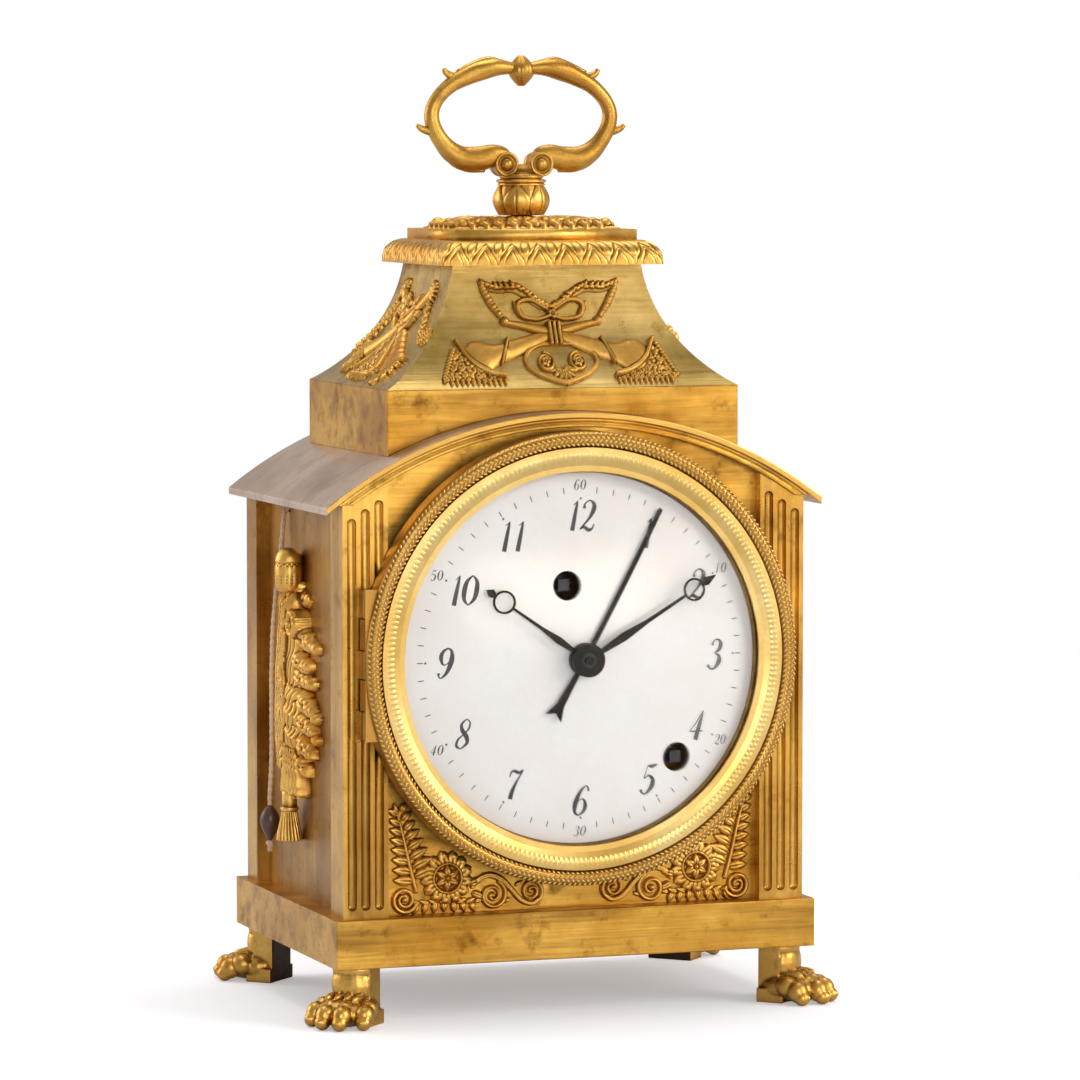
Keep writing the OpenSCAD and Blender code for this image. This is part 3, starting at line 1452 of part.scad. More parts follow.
module balance_cock() {
    color("gold") centred() difference() {
        union() {
            dial_slab(move_y3, cock_y + cock_t) translate(cock_foot) square(6, center = true);
            dial_slab(cock_y, cock_y + cock_t) {
                polygon(band([balance_pos, cock_foot], [4, 6]));
                translate(balance_pos) circle(r = 3);
            }
        }
        dial_bar(staff_r + run_gap, -far, far, balance_pos);
    }
}

module bell() {
    color("silver") centred() difference() {
        translate([bell_pos[0], bell_y, dial_z + bell_pos[1]]) rotate([-90, 0, 0]) rotate_extrude()
            polygon(concat(
                [for (i = [0:12]) let (a = 90 * i / 12) [bell_r * cos(a), bell_d * sin(a)]],
                [for (i = [12:-1:0]) let (a = 90 * i / 12) [(bell_r - bell_t) * cos(a), (bell_d - bell_t) * sin(a)]]));
        dial_bar(bell_tip_r + run_gap, -far, far, bell_pos);
    }
}

module hammer() {
    gone = bell_r + hammer_gap + hammer_head_r;
    head = [bell_pos[0] - gone * cos(4), bell_pos[1] - gone * sin(4)];
    color("silver") centred() difference() {
        union() {
            dial_slab(lever_y, lever_y + lever_t) {
                translate(hammer_pos) circle(r = 2.4);
                polygon(band([hammer_pos, head], [2.4, 1.6]));
            }
            dial_bar(hammer_head_r, lever_y, bell_y + 2.5, head);
        }
        dial_bar(stud_r + run_gap, -far, far, hammer_pos);
    }
}

// Lever that the pull cord draws to the left
module repeat_lever() {
    pivot = [lever_x, cord_z - lever_drop];
    tip = [lever_x + lever_swing, cord_z];
    color("silver") centred() difference() {
        union() {
            slab(lever_y, lever_y + lever_t) {
                polygon(band([pivot, tip], [3, 1.6]));
                polygon(band([pivot, pivot + [3, -11]], [3, 1.6]));
                translate(tip) square([2.4, 2.4], center = true);
            }
            bar_y(2.6, lever_y, lever_y + lever_t, pivot);
        }
        bar_y(stud_r + run_gap, -far, far, pivot);
    }
}

// Pull cord and its bead

module pull_cord() {
    color("wheat") centred() tube([for (p = cord_route) [p[0], cord_y, p[1]]], [cord_r], 8);
}

// Pear-shaped bead with the cord's knot and frayed end under it
module cord_bead() {
    bead_low = bead_top - bead_h;
    color("saddlebrown") centred() translate([bead_x, cord_y, 0]) {
        translate([0, 0, bead_low]) rotate_extrude() polygon(concat(
            [[0, 0]],
            [for (i = [0:14]) let (t = i / 14, r = bead_r * pow(sin(180 * pow(t * 0.94 + 0.05, 1.35)), 0.7))
                [max(r, 0.6), bead_h * t]],
            [[0, bead_h]]));
        translate([0, 0, bead_low - 0.5]) sphere(r = 1.1, $fn = 32);
        translate([0, 0, bead_low - 2.6]) cylinder(r = 0.8, h = 2.4);
    }
}

base_plinth();
foot(-1, -1);  // foot_front_left
foot(1, -1);  // foot_front_right
foot(-1, 1);  // foot_back_left
foot(1, 1);  // foot_back_right
foot_screws();
post_front_left();
post(1, -1);  // post_front_right
post(-1, 1);  // post_back_left
post(1, 1);  // post_back_right
front_plate();
panel(-1);  // left_panel
panel(1);  // right_panel
archivolt();
back_frame();
barrel_roof();
attic_block();
pagoda_roof();
cornice();
leaf_mound();
bud_finial();
handle();
handle_stem();
spandrel(-1);  // left_spandrel
spandrel(1);  // right_spandrel
front_trophy();
side_trophy(-1);  // left_trophy
side_trophy(1);  // right_trophy
pendant(-1);  // left_pendant
pendant(1);  // right_pendant
hinge_pins();
back_door();
door_latch();
bezel();
bezel_glass();
dial();
hour_hand();
minute_hand();
alarm_hand();
cannon_pinion();
minute_wheel();
hour_wheel();
alarm_wheel();
front_movement_plate();
back_movement_plate();
movement_pillars();
going_barrel();
going_arbor();
alarm_arbor();
centre_wheel();
third_wheel();
fourth_wheel();
escape_wheel();
balance_wheel();
balance_cock();
bell();
hammer();
repeat_lever();
pull_cord();
cord_bead();
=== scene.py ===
"""An officer's travelling clock in gilt brass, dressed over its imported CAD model.

Lengths are written in millimetres and turned into metres where a mesh is made.
The front faces -Y and Z is up.
"""
import logging
import math
from dataclasses import dataclass, field
from enum import Enum
from typing import Any, Callable, ClassVar, Iterable, Optional, Sequence

import bmesh
import bpy
import numpy as np
from bpy.types import Material, Node, NodeSocket, NodeTree, Object
from mathutils import Matrix, Vector
from mathutils.bvhtree import BVHTree


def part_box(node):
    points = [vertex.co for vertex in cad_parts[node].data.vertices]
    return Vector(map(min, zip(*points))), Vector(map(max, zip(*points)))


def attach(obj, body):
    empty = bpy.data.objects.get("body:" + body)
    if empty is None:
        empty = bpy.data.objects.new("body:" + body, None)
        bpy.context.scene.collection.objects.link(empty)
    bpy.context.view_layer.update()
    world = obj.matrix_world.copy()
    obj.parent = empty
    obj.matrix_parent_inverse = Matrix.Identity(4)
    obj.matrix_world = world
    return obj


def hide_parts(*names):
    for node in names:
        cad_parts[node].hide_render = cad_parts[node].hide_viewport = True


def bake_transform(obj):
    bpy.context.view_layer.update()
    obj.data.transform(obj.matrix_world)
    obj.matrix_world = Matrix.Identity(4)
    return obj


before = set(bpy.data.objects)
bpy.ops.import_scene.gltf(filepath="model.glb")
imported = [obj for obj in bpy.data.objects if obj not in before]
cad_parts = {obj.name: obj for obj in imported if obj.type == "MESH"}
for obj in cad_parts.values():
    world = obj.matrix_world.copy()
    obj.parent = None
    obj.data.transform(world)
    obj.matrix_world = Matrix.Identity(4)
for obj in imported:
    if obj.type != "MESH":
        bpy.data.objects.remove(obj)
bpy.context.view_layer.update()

LOG = logging.getLogger("clock")
MM = 0.001

Array = np.ndarray
Point = tuple[float, float]
Place = Callable[[Array, Array, Array], Array]
Layer = tuple[NodeSocket, float, float, float, str]


def box_mm(node: str) -> tuple[Array, Array]:
    """Return a CAD node's box."""
    low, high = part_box(node)
    return np.array(low) / MM, np.array(high) / MM


# The faces and heights that the dressing starts from
PLINTH_LOW, PLINTH_HIGH = box_mm("base_plinth")
MID_Y = float(PLINTH_LOW[1] + PLINTH_HIGH[1]) / 2
PLINTH_TOP = float(PLINTH_HIGH[2])
PLATE_Y = MID_Y - 34.2
PANEL_X = 51.7
DIAL_Z = PLINTH_TOP + 56.55
ATTIC_TOP = float(box_mm("attic_block")[1][2])
ROOF_FRONT = float(box_mm("barrel_roof")[0][1])


class Side(Enum):
    """A side of the case, as a factor on X."""

    LEFT = -1
    RIGHT = 1


class Axis(Enum):
    """The axis along which a metal or a wood is brushed or grained."""

    NONE = -1
    X = 0
    Z = 2


# Colours and finishes


def linear(hex_code: str) -> tuple[float, float, float, float]:
    """Turn an sRGB hex colour into linear RGBA.

    Args:
        hex_code: Six hex digits.

    Returns:
        The linear colour with an alpha of one.
    """
    out = []
    for i in (0, 2, 4):
        c = int(hex_code[i : i + 2], 16) / 255
        out.append(c / 12.92 if c <= 0.04045 else ((c + 0.055) / 1.055) ** 2.4)
    return (out[0], out[1], out[2], 1.0)


def add(tree: NodeTree, kind: str, inputs: Optional[dict] = None, **settings: Any) -> Node:
    """Add a node to a tree.

    Args:
        tree: The tree.
        kind: The node's type name.
        inputs: Socket name or index to a value or to an output socket to link.
        **settings: Attributes set on the node.

    Returns:
        The new node.
    """
    node = tree.nodes.new(kind)
    for key, value in settings.items():
        setattr(node, key, value)
    for key, value in (inputs or {}).items():
        socket = node.inputs[key]
        if isinstance(value, NodeSocket):
            tree.links.new(value, socket)
        else:
            socket.default_value = value
    return node


# Noise cells per metre. The clouds of tone are about 24 mm across, the blots of old stain about 8 mm and the
# grit of a matt surface about 1 mm. Real brush marks are too fine for the picture, so they are drawn 0.7 mm
# wide and 22 mm long. The brown streaks that follow them are 6 mm wide and 70 mm long.
CLOUDS, BLOTS, GRIT = 42.0, 130.0, 900.0
MARKS, MARK_LENGTHS = 1500.0, 45.0
STREAKS, STREAK_LENGTHS = 170.0, 14.0
# Widths over which the colour of a rim and of a ring changes, in millimetres
RIM_EDGE, RING_EDGE = 0.35, 0.1
# Height of the brush marks in metres
MARK_HEIGHT = 0.00012


@dataclass(frozen=True)
class Finish:
    """What a surface is made of and how it has aged.

    Attributes:
        name: Name of the material.
        light: Colour of the raised or clean parts.
        deep: Colour of the middle tone patches.
        stain: Colour of real stains and streaks, and of the painted shade in hollows and round the bezel.
        rough: Base roughness.
        metal: One for metal.
        stains: How much of the plain surface is stained, from 0 to 1.
        hollows: How strongly painted shade darkens the hollows, from how far each point stands out.
        brush: Axis along which the brushing runs.
        grain: Strength of the fine bumps.
        coat: Weight of a clear coat.
        streaks: How strongly long brown streaks show along the brushing.
        rim: Colour of everything in front of rim_y, or nothing.
        rim_y: Where the rim begins, in millimetres.
        ring: Radius round the dial's axis outside which painted shade is laid, or zero.
    """

    name: str
    light: str
    deep: str
    stain: str
    rough: float
    metal: float = 1.0
    stains: float = 0.25
    hollows: float = 0.0
    brush: Axis = Axis.NONE
    grain: float = 0.15
    coat: float = 0.0
    streaks: float = 0.0
    rim: str = ""
    rim_y: float = 0.0
    ring: float = 0.0

    def build(self) -> Material:
        """Make the material.

        Returns:
            A material that uses object coordinates and attributes only.
        """
        material = bpy.data.materials.new(self.name)
        material.use_nodes = True
        tree = material.node_tree
        shader = tree.nodes["Principled BSDF"]
        where = add(tree, "ShaderNodeTexCoord").outputs["Object"]
        noise = {"Vector": where, "Scale": BLOTS, "Detail": 8.0, "Roughness": 0.7}
        blot = add(tree, "ShaderNodeTexNoise", noise).outputs["Fac"]
        scale = (GRIT, GRIT, GRIT) if self.brush is Axis.NONE else self._stretch(MARKS, MARK_LENGTHS)
        lines = add(tree, "ShaderNodeMapping", {"Vector": where, "Scale": scale}).outputs[0]
        grain = add(tree, "ShaderNodeTexNoise", {"Vector": lines, "Scale": 1.0, "Detail": 4.0}).outputs["Fac"]
        base = linear(self.light)
        for value, low, high, most, colour in self._layers(tree, where, blot, grain):
            mask = add(tree, "ShaderNodeMapRange", {"Value": value, 1: low, 2: high, 4: most}).outputs[0]
            pair = {0: mask, 6: base, 7: linear(colour)}
            base = add(tree, "ShaderNodeMix", pair, data_type="RGBA").outputs[2]
        spread = {"Value": blot, 1: 0.3, 2: 0.75, 3: self.rough - 0.06, 4: self.rough + 0.14}
        rough = add(tree, "ShaderNodeMapRange", spread)
        bump = add(tree, "ShaderNodeBump", {"Height": grain, "Strength": self.grain, "Distance": MARK_HEIGHT})
        tree.links.new(base, shader.inputs["Base Color"])
        tree.links.new(rough.outputs[0], shader.inputs["Roughness"])
        tree.links.new(bump.outputs[0], shader.inputs["Normal"])
        shader.inputs["Metallic"].default_value = self.metal
        shader.inputs["Coat Weight"].default_value = self.coat
        shader.inputs["Coat Roughness"].default_value = 0.08
        material.diffuse_color = linear(self.light)
        return material

    def _stretch(self, across: float, along: float) -> tuple[float, ...]:
        """Draw a noise out along the brushing, or along X where there is none."""
        return tuple(along if axis == max(self.brush.value, 0) else across for axis in range(3))

    def _layers(self, tree: NodeTree, where: NodeSocket, blot: NodeSocket, grain: NodeSocket) -> list[Layer]:
        """List what lies over the light colour, the lowest first.

        Args:
            tree: The tree.
            where: Object coordinates.
            blot: Noise of the stains.
            grain: Noise of the brush marks.

        Returns:
            For each layer a value, where the layer starts and is whole, its strength and its colour.
        """
        noise = {"Vector": where, "Scale": CLOUDS, "Detail": 6.0, "Roughness": 0.62}
        cloud = add(tree, "ShaderNodeTexNoise", noise).outputs["Fac"]
        start, whole = 0.68 - 0.3 * self.stains, 0.8 - 0.2 * self.stains
        layers = [
            (cloud, 0.38, 0.66, 1.0, self.deep), (grain, 0.3, 0.75, 0.5, self.deep),
            (blot, start, whole, min(1.0, 0.35 + self.stains), self.stain),
        ]
        if self.streaks > 0:
            scale = self._stretch(STREAKS, STREAK_LENGTHS)
            way = add(tree, "ShaderNodeMapping", {"Vector": where, "Scale": scale}).outputs[0]
            noise = {"Vector": way, "Scale": 1.0, "Detail": 5.0, "Roughness": 0.65}
            band = add(tree, "ShaderNodeTexNoise", noise).outputs["Fac"]
            layers.append((band, 0.47, 0.68, self.streaks, self.stain))
        split = add(tree, "ShaderNodeSeparateXYZ", {0: where}).outputs
        if self.rim:
            layers.append((split[1], (self.rim_y + RIM_EDGE) * MM, self.rim_y * MM, 1.0, self.rim))
        # Painted shade round the bezel: the ground between the rope knots and the outer rim turn towards the
        # stain colour
        if self.ring > 0:
            up = add(tree, "ShaderNodeMath", {0: split[2], 1: DIAL_Z * MM}, operation="SUBTRACT").outputs[0]
            flat = add(tree, "ShaderNodeCombineXYZ", {0: split[0], 1: up}).outputs[0]
            radius = add(tree, "ShaderNodeVectorMath", {0: flat}, operation="LENGTH").outputs["Value"]
            layers.append((radius, (self.ring - RING_EDGE) * MM, self.ring * MM, 1.0, self.stain))
        # Painted shade: darkens hollows and creases towards the stain colour, from how far each point stands
        # out
        if self.hollows > 0:
            cavity_shade = add(tree, "ShaderNodeAttribute", attribute_name="cavity_shade").outputs["Fac"]
            layers.append((cavity_shade, 0.5, 0.18, self.hollows, self.stain))
        return layers


FINISHES = (
    # Fire-gilt sheet brass, brushed across: satin gold, rubbed thin, with brown streaks
    Finish(
        "worn_gilt", "E0B458", "B3812F", "5A3713", 0.32,
        stains=0.42, brush=Axis.X, grain=0.4, streaks=0.6,
    ),
    # The same at the back, hardly brushed: darker and more even
    Finish("worn_gilt_back", "CC9F4C", "A27430", "553415", 0.34, stains=0.36, grain=0.3, streaks=0.12),
    # Gilt sheet of the pagoda roof: paler, as light rubs off its hollow sides
    Finish(
        "pale_gilt", "D8BC7A", "AC8E48", "5C4518", 0.3,
        stains=0.42, brush=Axis.X, grain=0.35, streaks=0.6,
    ),
    # Gilt posts, brushed upright: long soft lines
    Finish(
        "worn_gilt_upright", "DAB05A", "A67832", "5A3612", 0.29,
        stains=0.4, brush=Axis.Z, grain=0.35, streaks=0.55,
    ),
    # Gilt of the side panels, painted dull and brownish as painted shade of the case's less lit sides
    Finish(
        "shaded_side_gilt", "BA904C", "8E6934", "523418", 0.36,
        stains=0.34, brush=Axis.Z, grain=0.35, streaks=0.4,
    ),
    # Roof sheet painted pale pinkish grey on its slopes as a painted reflection of the room, gilt at the
    # front edge
    Finish(
        "roof_painted_reflection", "DCCABC", "BCA696", "7A5F50", 0.33,
        stains=0.26, brush=Axis.X, grain=0.25, streaks=0.3, rim="C9A052", rim_y=ROOF_FRONT,
    ),
    # Cast and matted gilt brass: bright edges, with painted shade darkening the hollows dark brown
    Finish("matt_mount", "E6BE68", "C28F3C", "683812", 0.4, stains=0.18, hollows=0.85, grain=0.35),
    # The same on the roof's front: greyer gold in the shade of the cornice
    Finish("dim_mount", "CDA456", "A67A34", "54320F", 0.42, stains=0.3, hollows=0.8, grain=0.4),
    # The same on the side panels: bright yellow with strong painted shade in the hollows
    Finish("pale_mount", "F4CC74", "D09640", "6A300C", 0.4, stains=0.2, hollows=0.85, grain=0.4),
    # Cast gilt of cornice, bud and feet: burnished on what stands out, with painted shade in the hollows
    Finish("bright_mount", "E0B864", "C09042", "643A14", 0.36, stains=0.25, hollows=0.75, grain=0.3),
    # Cast gilt of the handle: worn by the hand, so browner
    Finish("handle_gilt", "D0A550", "A87B34", "553213", 0.38, stains=0.3, hollows=0.65, grain=0.35),
    # Turned gilt of the bezel: clean satin; outside its ring, painted shade darkens the ground between the
    # rope knots and the outer rim
    Finish("turned_ring", "E0C684", "C8A458", "B28844", 0.32, stains=0.1, grain=0.15, ring=47.35),
    # Engine-turned bars: pale gold lines with painted shade in the thin gaps between them
    Finish("fine_bars", "E4CC8C", "D0AE64", "7C5424", 0.34, stains=0.1, hollows=0.55, grain=0.1),
    # Rope band of small gilt knots: fine sparkle
    Finish("braid", "E6C67C", "CCA254", "7C5424", 0.4, stains=0.1, hollows=0.3, grain=0.2),
    # Cast brass left rough where nobody sees it: dull brown
    Finish("bare_brown", "4A2C18", "2E1A0E", "140A05", 0.55, metal=0.4, stains=0.4, grain=0.5),
    # Polished brass of the movement: clear yellow
    Finish("plate_brass", "DDBB66", "C9A450", "8A6A30", 0.22, stains=0.12, brush=Axis.X, grain=0.1),
    # Filed steel of screws, pins and levers: plain grey
    Finish("cut_steel", "9A9A9C", "7C7C80", "4A4644", 0.3, stains=0.15, grain=0.15),
    # Hardened steel of arbors: dark grey
    Finish("dark_steel", "4C4B4E", "37363A", "201E1E", 0.35, stains=0.2, grain=0.1),
    # Turned bell metal: silvery grey with a soft shine
    Finish("bell_grey", "B4ADA0", "9C9488", "6A6258", 0.2, stains=0.1, grain=0.1),
    # Blued steel hands, aged almost to black
    Finish("blued_steel", "34332F", "23221F", "141311", 0.34, metal=0.85, stains=0.1, grain=0.1),
    # Fired enamel: cool white under a glassy skin
    Finish("enamel_white", "E0E1E2", "DAD9D7", "C8C3B8", 0.12, metal=0.0, stains=0.05, grain=0.02, coat=0.6),
    # Fired black of the numerals: soft dark grey
    Finish("ink", "323235", "3C3B3D", "55524F", 0.35, metal=0.0, stains=0.1, grain=0.0),
    # Twisted cotton or silk: pale pinkish brown and quite dull
    Finish("cord_fibre", "DCC0A0", "C4A482", "8A6A4E", 0.85, metal=0.0, stains=0.1, grain=0.5),
    # Turned and waxed wood of the bead: dark red-brown
    Finish(
        "dark_wood", "5A3C30", "452B22", "24140E", 0.38, metal=0.0,
        stains=0.2, brush=Axis.Z, grain=0.3, coat=0.15,
    ),
    # Shade inside the winding holes
    Finish("hole_black", "0B0A09", "0B0A09", "050505", 0.6, metal=0.0, stains=0.0, grain=0.0),
)


class Palette:
    """All materials, made once."""

    def __init__(self) -> None:
        """Make every finish and the glass."""
        self.by_name = {finish.name: finish.build() for finish in FINISHES}
        self.by_name["clear_glass"] = self._glass()

    def __getitem__(self, name: str) -> Material:
        """Return the material of that name."""
        return self.by_name[name]

    @staticmethod
    def _glass() -> Material:
        """Make the dome's thin clear glass.

        Returns:
            A material that lets light straight through and reflects a little.
        """
        material = bpy.data.materials.new("clear_glass")
        material.use_nodes = True
        tree = material.node_tree
        shader = tree.nodes["Principled BSDF"]
        shader.inputs["Base Color"].default_value = (1.0, 1.0, 1.0, 1.0)
        shader.inputs["Roughness"].default_value = 0.0
        shader.inputs["IOR"].default_value = 1.12
        shader.inputs["Transmission Weight"].default_value = 1.0
        clear = add(tree, "ShaderNodeBsdfTransparent")
        mix = add(tree, "ShaderNodeMixShader", {0: 0.14, 1: clear.outputs[0], 2: shader.outputs[0]})
        tree.links.new(mix.outputs[0], tree.nodes["Material Output"].inputs["Surface"])
        material.surface_render_method = "BLENDED"
        return material


# Meshes


def mesh_object(name: str, points: Array, faces: Sequence[Sequence[int]], smooth: bool = True) -> Object:
    """Make an object from points in millimetres.

    Args:
        name: Name of the object.
        points: N by 3 array in millimetres, in the row frame.
        faces: Faces as rows of indices.
        smooth: Whether the faces are shaded smooth.

    Returns:
        The object, linked to the scene.
    """
    mesh = bpy.data.meshes.new(name)
    mesh.from_pydata((np.asarray(points, float) * MM).tolist(), [], [list(map(int, f)) for f in faces])
    mesh.validate()
    if smooth:
        mesh.shade_smooth()
    obj = bpy.data.objects.new(name, mesh)
    bpy.context.scene.collection.objects.link(obj)
    return obj


def bake(obj: Object) -> Object:
    """Replace an object's mesh with its evaluated one and drop its modifiers.

    Args:
        obj: The object.

    Returns:
        The same object.
    """
    graph = bpy.context.evaluated_depsgraph_get()
    graph.update()
    made = bpy.data.meshes.new_from_object(obj.evaluated_get(graph))
    obj.modifiers.clear()
    old = obj.data
    obj.data = made
    bpy.data.meshes.remove(old)
    return obj


def mark_wear(obj: Object, scale: float = 1.0, passes: int = 2) -> Object:
    """Store how far each point stands out, so that painted shade can be laid into the hollows.

    Args:
        obj: A mesh object.
        scale: Strength.
        passes: How often the value is smoothed.

    Returns:
        The same object.
    """
    mesh = obj.data
    count = len(mesh.vertices)
    co = np.zeros(count * 3)
    no = np.zeros(count * 3)
    mesh.vertices.foreach_get("co", co)
    mesh.vertices.foreach_get("normal", no)
    co, no = co.reshape(-1, 3), no.reshape(-1, 3)
    ends = np.zeros(len(mesh.edges) * 2, int)
    mesh.edges.foreach_get("vertices", ends)
    a, b = ends[0::2], ends[1::2]
    degree = np.bincount(a, minlength=count) + np.bincount(b, minlength=count)
    degree = np.maximum(degree, 1)

    def around(values: Array) -> Array:
        """Return the mean of each point's neighbours.

        Args:
            values: A number or a vector for each point.

        Returns:
            The means in the same shape.
        """
        total = np.zeros_like(values)
        np.add.at(total, a, values[b])
        np.add.at(total, b, values[a])
        return total / (degree[:, None] if values.ndim == 2 else degree)

    length = np.linalg.norm(co[a] - co[b], axis=1).mean() if len(a) else 1.0
    value = np.einsum("ij,ij->i", co - around(co), no) / max(length, 1e-9)
    for _ in range(passes):
        value = 0.4 * value + 0.6 * around(value)
    cavity_shade = np.clip(0.5 + value * scale * 3.0, 0, 1)
    layer = mesh.attributes.get("cavity_shade") or mesh.attributes.new("cavity_shade", "FLOAT", "POINT")
    layer.data.foreach_set("value", cavity_shade.astype(np.float32))
    return obj


def paint(obj: Object, material: Material) -> Object:
    """Give an object one material.

    Args:
        obj: The object.
        material: The material.

    Returns:
        The same object.
    """
    obj.data.materials.clear()
    obj.data.materials.append(material)
    return obj


def smooth_path(points: Sequence[Sequence[float]], steps: int = 6) -> Array:
    """Run a Catmull-Rom curve through points of any width.

    Args:
        points: Rows of numbers.
        steps: Pieces between two points.

    Returns:
        The denser rows.
    """
    p = np.asarray(points, float)
    p = np.vstack([2 * p[0] - p[1], p, 2 * p[-1] - p[-2]])
    out = []
    for i in range(1, len(p) - 2):
        for k in range(steps):
            t = k / steps
            out.append(
                0.5
                * (
                    2 * p[i]
                    + (p[i + 1] - p[i - 1]) * t
                    + (2 * p[i - 1] - 5 * p[i] + 4 * p[i + 1] - p[i + 2]) * t * t
                    + (3 * p[i] - p[i - 1] - 3 * p[i + 1] + p[i + 2]) * t**3
                )
            )
    out.append(p[-2])
    return np.array(out)


def spiral(
    at: Point, outer: float, inner: float, start: float, end: float, width: float, tip: float
) -> Array:
    """Make the centre line of a scroll with its half widths.

    Args:
        at: Centre.
        outer: Radius at the start.
        inner: Radius at the end.
        start: Angle at the start, in degrees.
        end: Angle at the end.
        width: Half width at the start.
        tip: Half width at the end.

    Returns:
        Rows of x, y and half width.
    """
    t = np.linspace(0, 1, max(12, int(abs(end - start) / 12)))
    a = np.radians(start + (end - start) * t)
    r = outer + (inner - outer) * t
    return np.stack([at[0] + r * np.cos(a), at[1] + r * np.sin(a), width + (tip - width) * t], axis=1)


class Relief:
    """A height map over a flat rectangle, built from strokes, leaves and balls."""

    def __init__(self, low: Point, high: Point, cell: float = 0.16) -> None:
        """Start with nothing.

        Args:
            low: Low corner in millimetres.
            high: High corner.
            cell: Width of a cell.
        """
        self.xs = np.arange(low[0], high[0] + cell, cell)
        self.ys = np.arange(low[1], high[1] + cell, cell)
        self.gx, self.gy = np.meshgrid(self.xs, self.ys, indexing="ij")
        self.h = np.zeros_like(self.gx)
        self.cell = cell

    def _window(self, low: Point, high: Point) -> tuple[slice, slice]:
        """Find the cells that a shape can reach.

        Args:
            low: Low corner of the shape.
            high: High corner.

        Returns:
            Two slices.
        """
        i0, i1 = np.searchsorted(self.xs, [low[0], high[0]])
        j0, j1 = np.searchsorted(self.ys, [low[1], high[1]])
        return slice(max(i0 - 1, 0), i1 + 1), slice(max(j0 - 1, 0), j1 + 1)

    def stroke(
        self, rows: Sequence[Sequence[float]], height: float, groove: float = 0.0, base: float = 0.0,
        ribs: float = 0.0,
    ) -> None:
        """Raise a rounded bar along a path.

        Args:
            rows: Rows of x, y and half width.
            height: Height of the bar.
            groove: Depth of a line along its middle.
            base: Height that it stands on.
            ribs: Distance between rings across it, or zero for none.
        """
        rows = np.asarray(rows, float)
        run = 0.0
        for (x0, y0, r0), (x1, y1, r1) in zip(rows[:-1], rows[1:]):
            reach = max(r0, r1)
            low = (min(x0, x1) - reach, min(y0, y1) - reach)
            window = self._window(low, (max(x0, x1) + reach, max(y0, y1) + reach))
            gx, gy = self.gx[window], self.gy[window]
            dx, dy = x1 - x0, y1 - y0
            size = math.hypot(dx, dy)
            if size < 1e-9 or gx.size == 0:
                continue
            t = np.clip(((gx - x0) * dx + (gy - y0) * dy) / size**2, 0, 1)
            d = np.hypot(gx - x0 - t * dx, gy - y0 - t * dy)
            r = r0 + (r1 - r0) * t
            q = np.clip(1 - (d / np.maximum(r, 1e-6)) ** 2, 0, 1)
            v = np.where(q > 0, base + height * q**0.5, 0.0)
            if groove:
                v = v - np.where(q > 0, groove * np.exp(-((d / (0.28 * r + 1e-6)) ** 2)), 0)
            if ribs:
                v = v - np.where(q > 0, 0.12 * height * (1 + np.cos(2 * np.pi * (run + t * size) / ribs)), 0)
            self.h[window] = np.maximum(self.h[window], v)
            run += size

    def curve(self, rows: Sequence[Sequence[float]], height: float, steps: int = 6, **details: float) -> None:
        """Raise a rounded bar along a smooth curve."""
        self.stroke(smooth_path(rows, steps), height, **details)

    def leaf(
        self, base: Point, angle: float, length: float, width: float, height: float, lobes: int = 0,
        bend: float = 0.0, vein: float = 0.3, floor: float = 0.0,
    ) -> None:
        """Raise a leaf with a middle vein.

        Args:
            base: Where the leaf starts.
            angle: Its direction in degrees.
            length: Its length.
            width: Its width.
            height: Its height.
            lobes: Number of lobes on each edge.
            bend: Sideways shift of its tip.
            vein: Depth of the vein as a share of the height.
            floor: Height that it stands on.
        """
        reach = length + width + abs(bend)
        window = self._window((base[0] - reach, base[1] - reach), (base[0] + reach, base[1] + reach))
        gx, gy = self.gx[window] - base[0], self.gy[window] - base[1]
        c, s = math.cos(math.radians(angle)), math.sin(math.radians(angle))
        t = (gx * c + gy * s) / length
        across = -gx * s + gy * c - bend * np.clip(t, 0, 1) ** 2
        inside = (t > 0) & (t < 1)
        tt = np.clip(t, 1e-4, 1)
        w = width / 2 * np.sin(np.pi * tt**0.8) ** 0.7
        if lobes:
            along = tt - 0.12 * np.abs(across) / max(width, 1e-6)
            w = w * (0.72 + 0.28 * np.abs(np.sin(np.pi * lobes * along)))
        q = np.clip(1 - (across / np.maximum(w, 1e-6)) ** 2, 0, 1)
        body = q**0.5 * (0.55 + 0.45 * np.sin(np.pi * np.clip(tt, 0, 1) ** 0.7))
        cut = vein * np.exp(-((across / (0.09 * width + 1e-6)) ** 2)) * (1 - tt)
        if lobes:
            cut = cut + 0.12 * np.clip(np.cos(2 * np.pi * (lobes * tt - 1.6 * np.abs(across) / width)), 0, 1)
        v = np.where(inside & (q > 0), floor + height * np.clip(body - cut, 0.05, 1), 0.0)
        self.h[window] = np.maximum(self.h[window], v)

    def ball(self, at: Point, radius: float, height: float) -> None:
        """Raise a dome.

        Args:
            at: Its centre.
            radius: Its radius.
            height: Its height.
        """
        window = self._window((at[0] - radius, at[1] - radius), (at[0] + radius, at[1] + radius))
        d = np.hypot(self.gx[window] - at[0], self.gy[window] - at[1]) / radius
        v = np.where(d < 1, height * np.sqrt(np.clip(1 - d**2, 0, 1)), 0.0)
        self.h[window] = np.maximum(self.h[window], v)

    def rosette(self, at: Point, radius: float, petals: int, height: float, turn: float = 0.0) -> None:
        """Raise a flower.

        Args:
            at: Its centre.
            radius: Its radius.
            petals: Number of petals.
            height: Its height.
            turn: Angle of the first petal.
        """
        for k in range(petals):
            a = turn + 360 * k / petals
            c, s = math.cos(math.radians(a)), math.sin(math.radians(a))
            base = (at[0] + 0.12 * radius * c, at[1] + 0.12 * radius * s)
            self.leaf(base, a, 0.88 * radius, 4.4 * radius / petals, height, vein=0.25)
        self.ball(at, 0.24 * radius, height * 1.1)

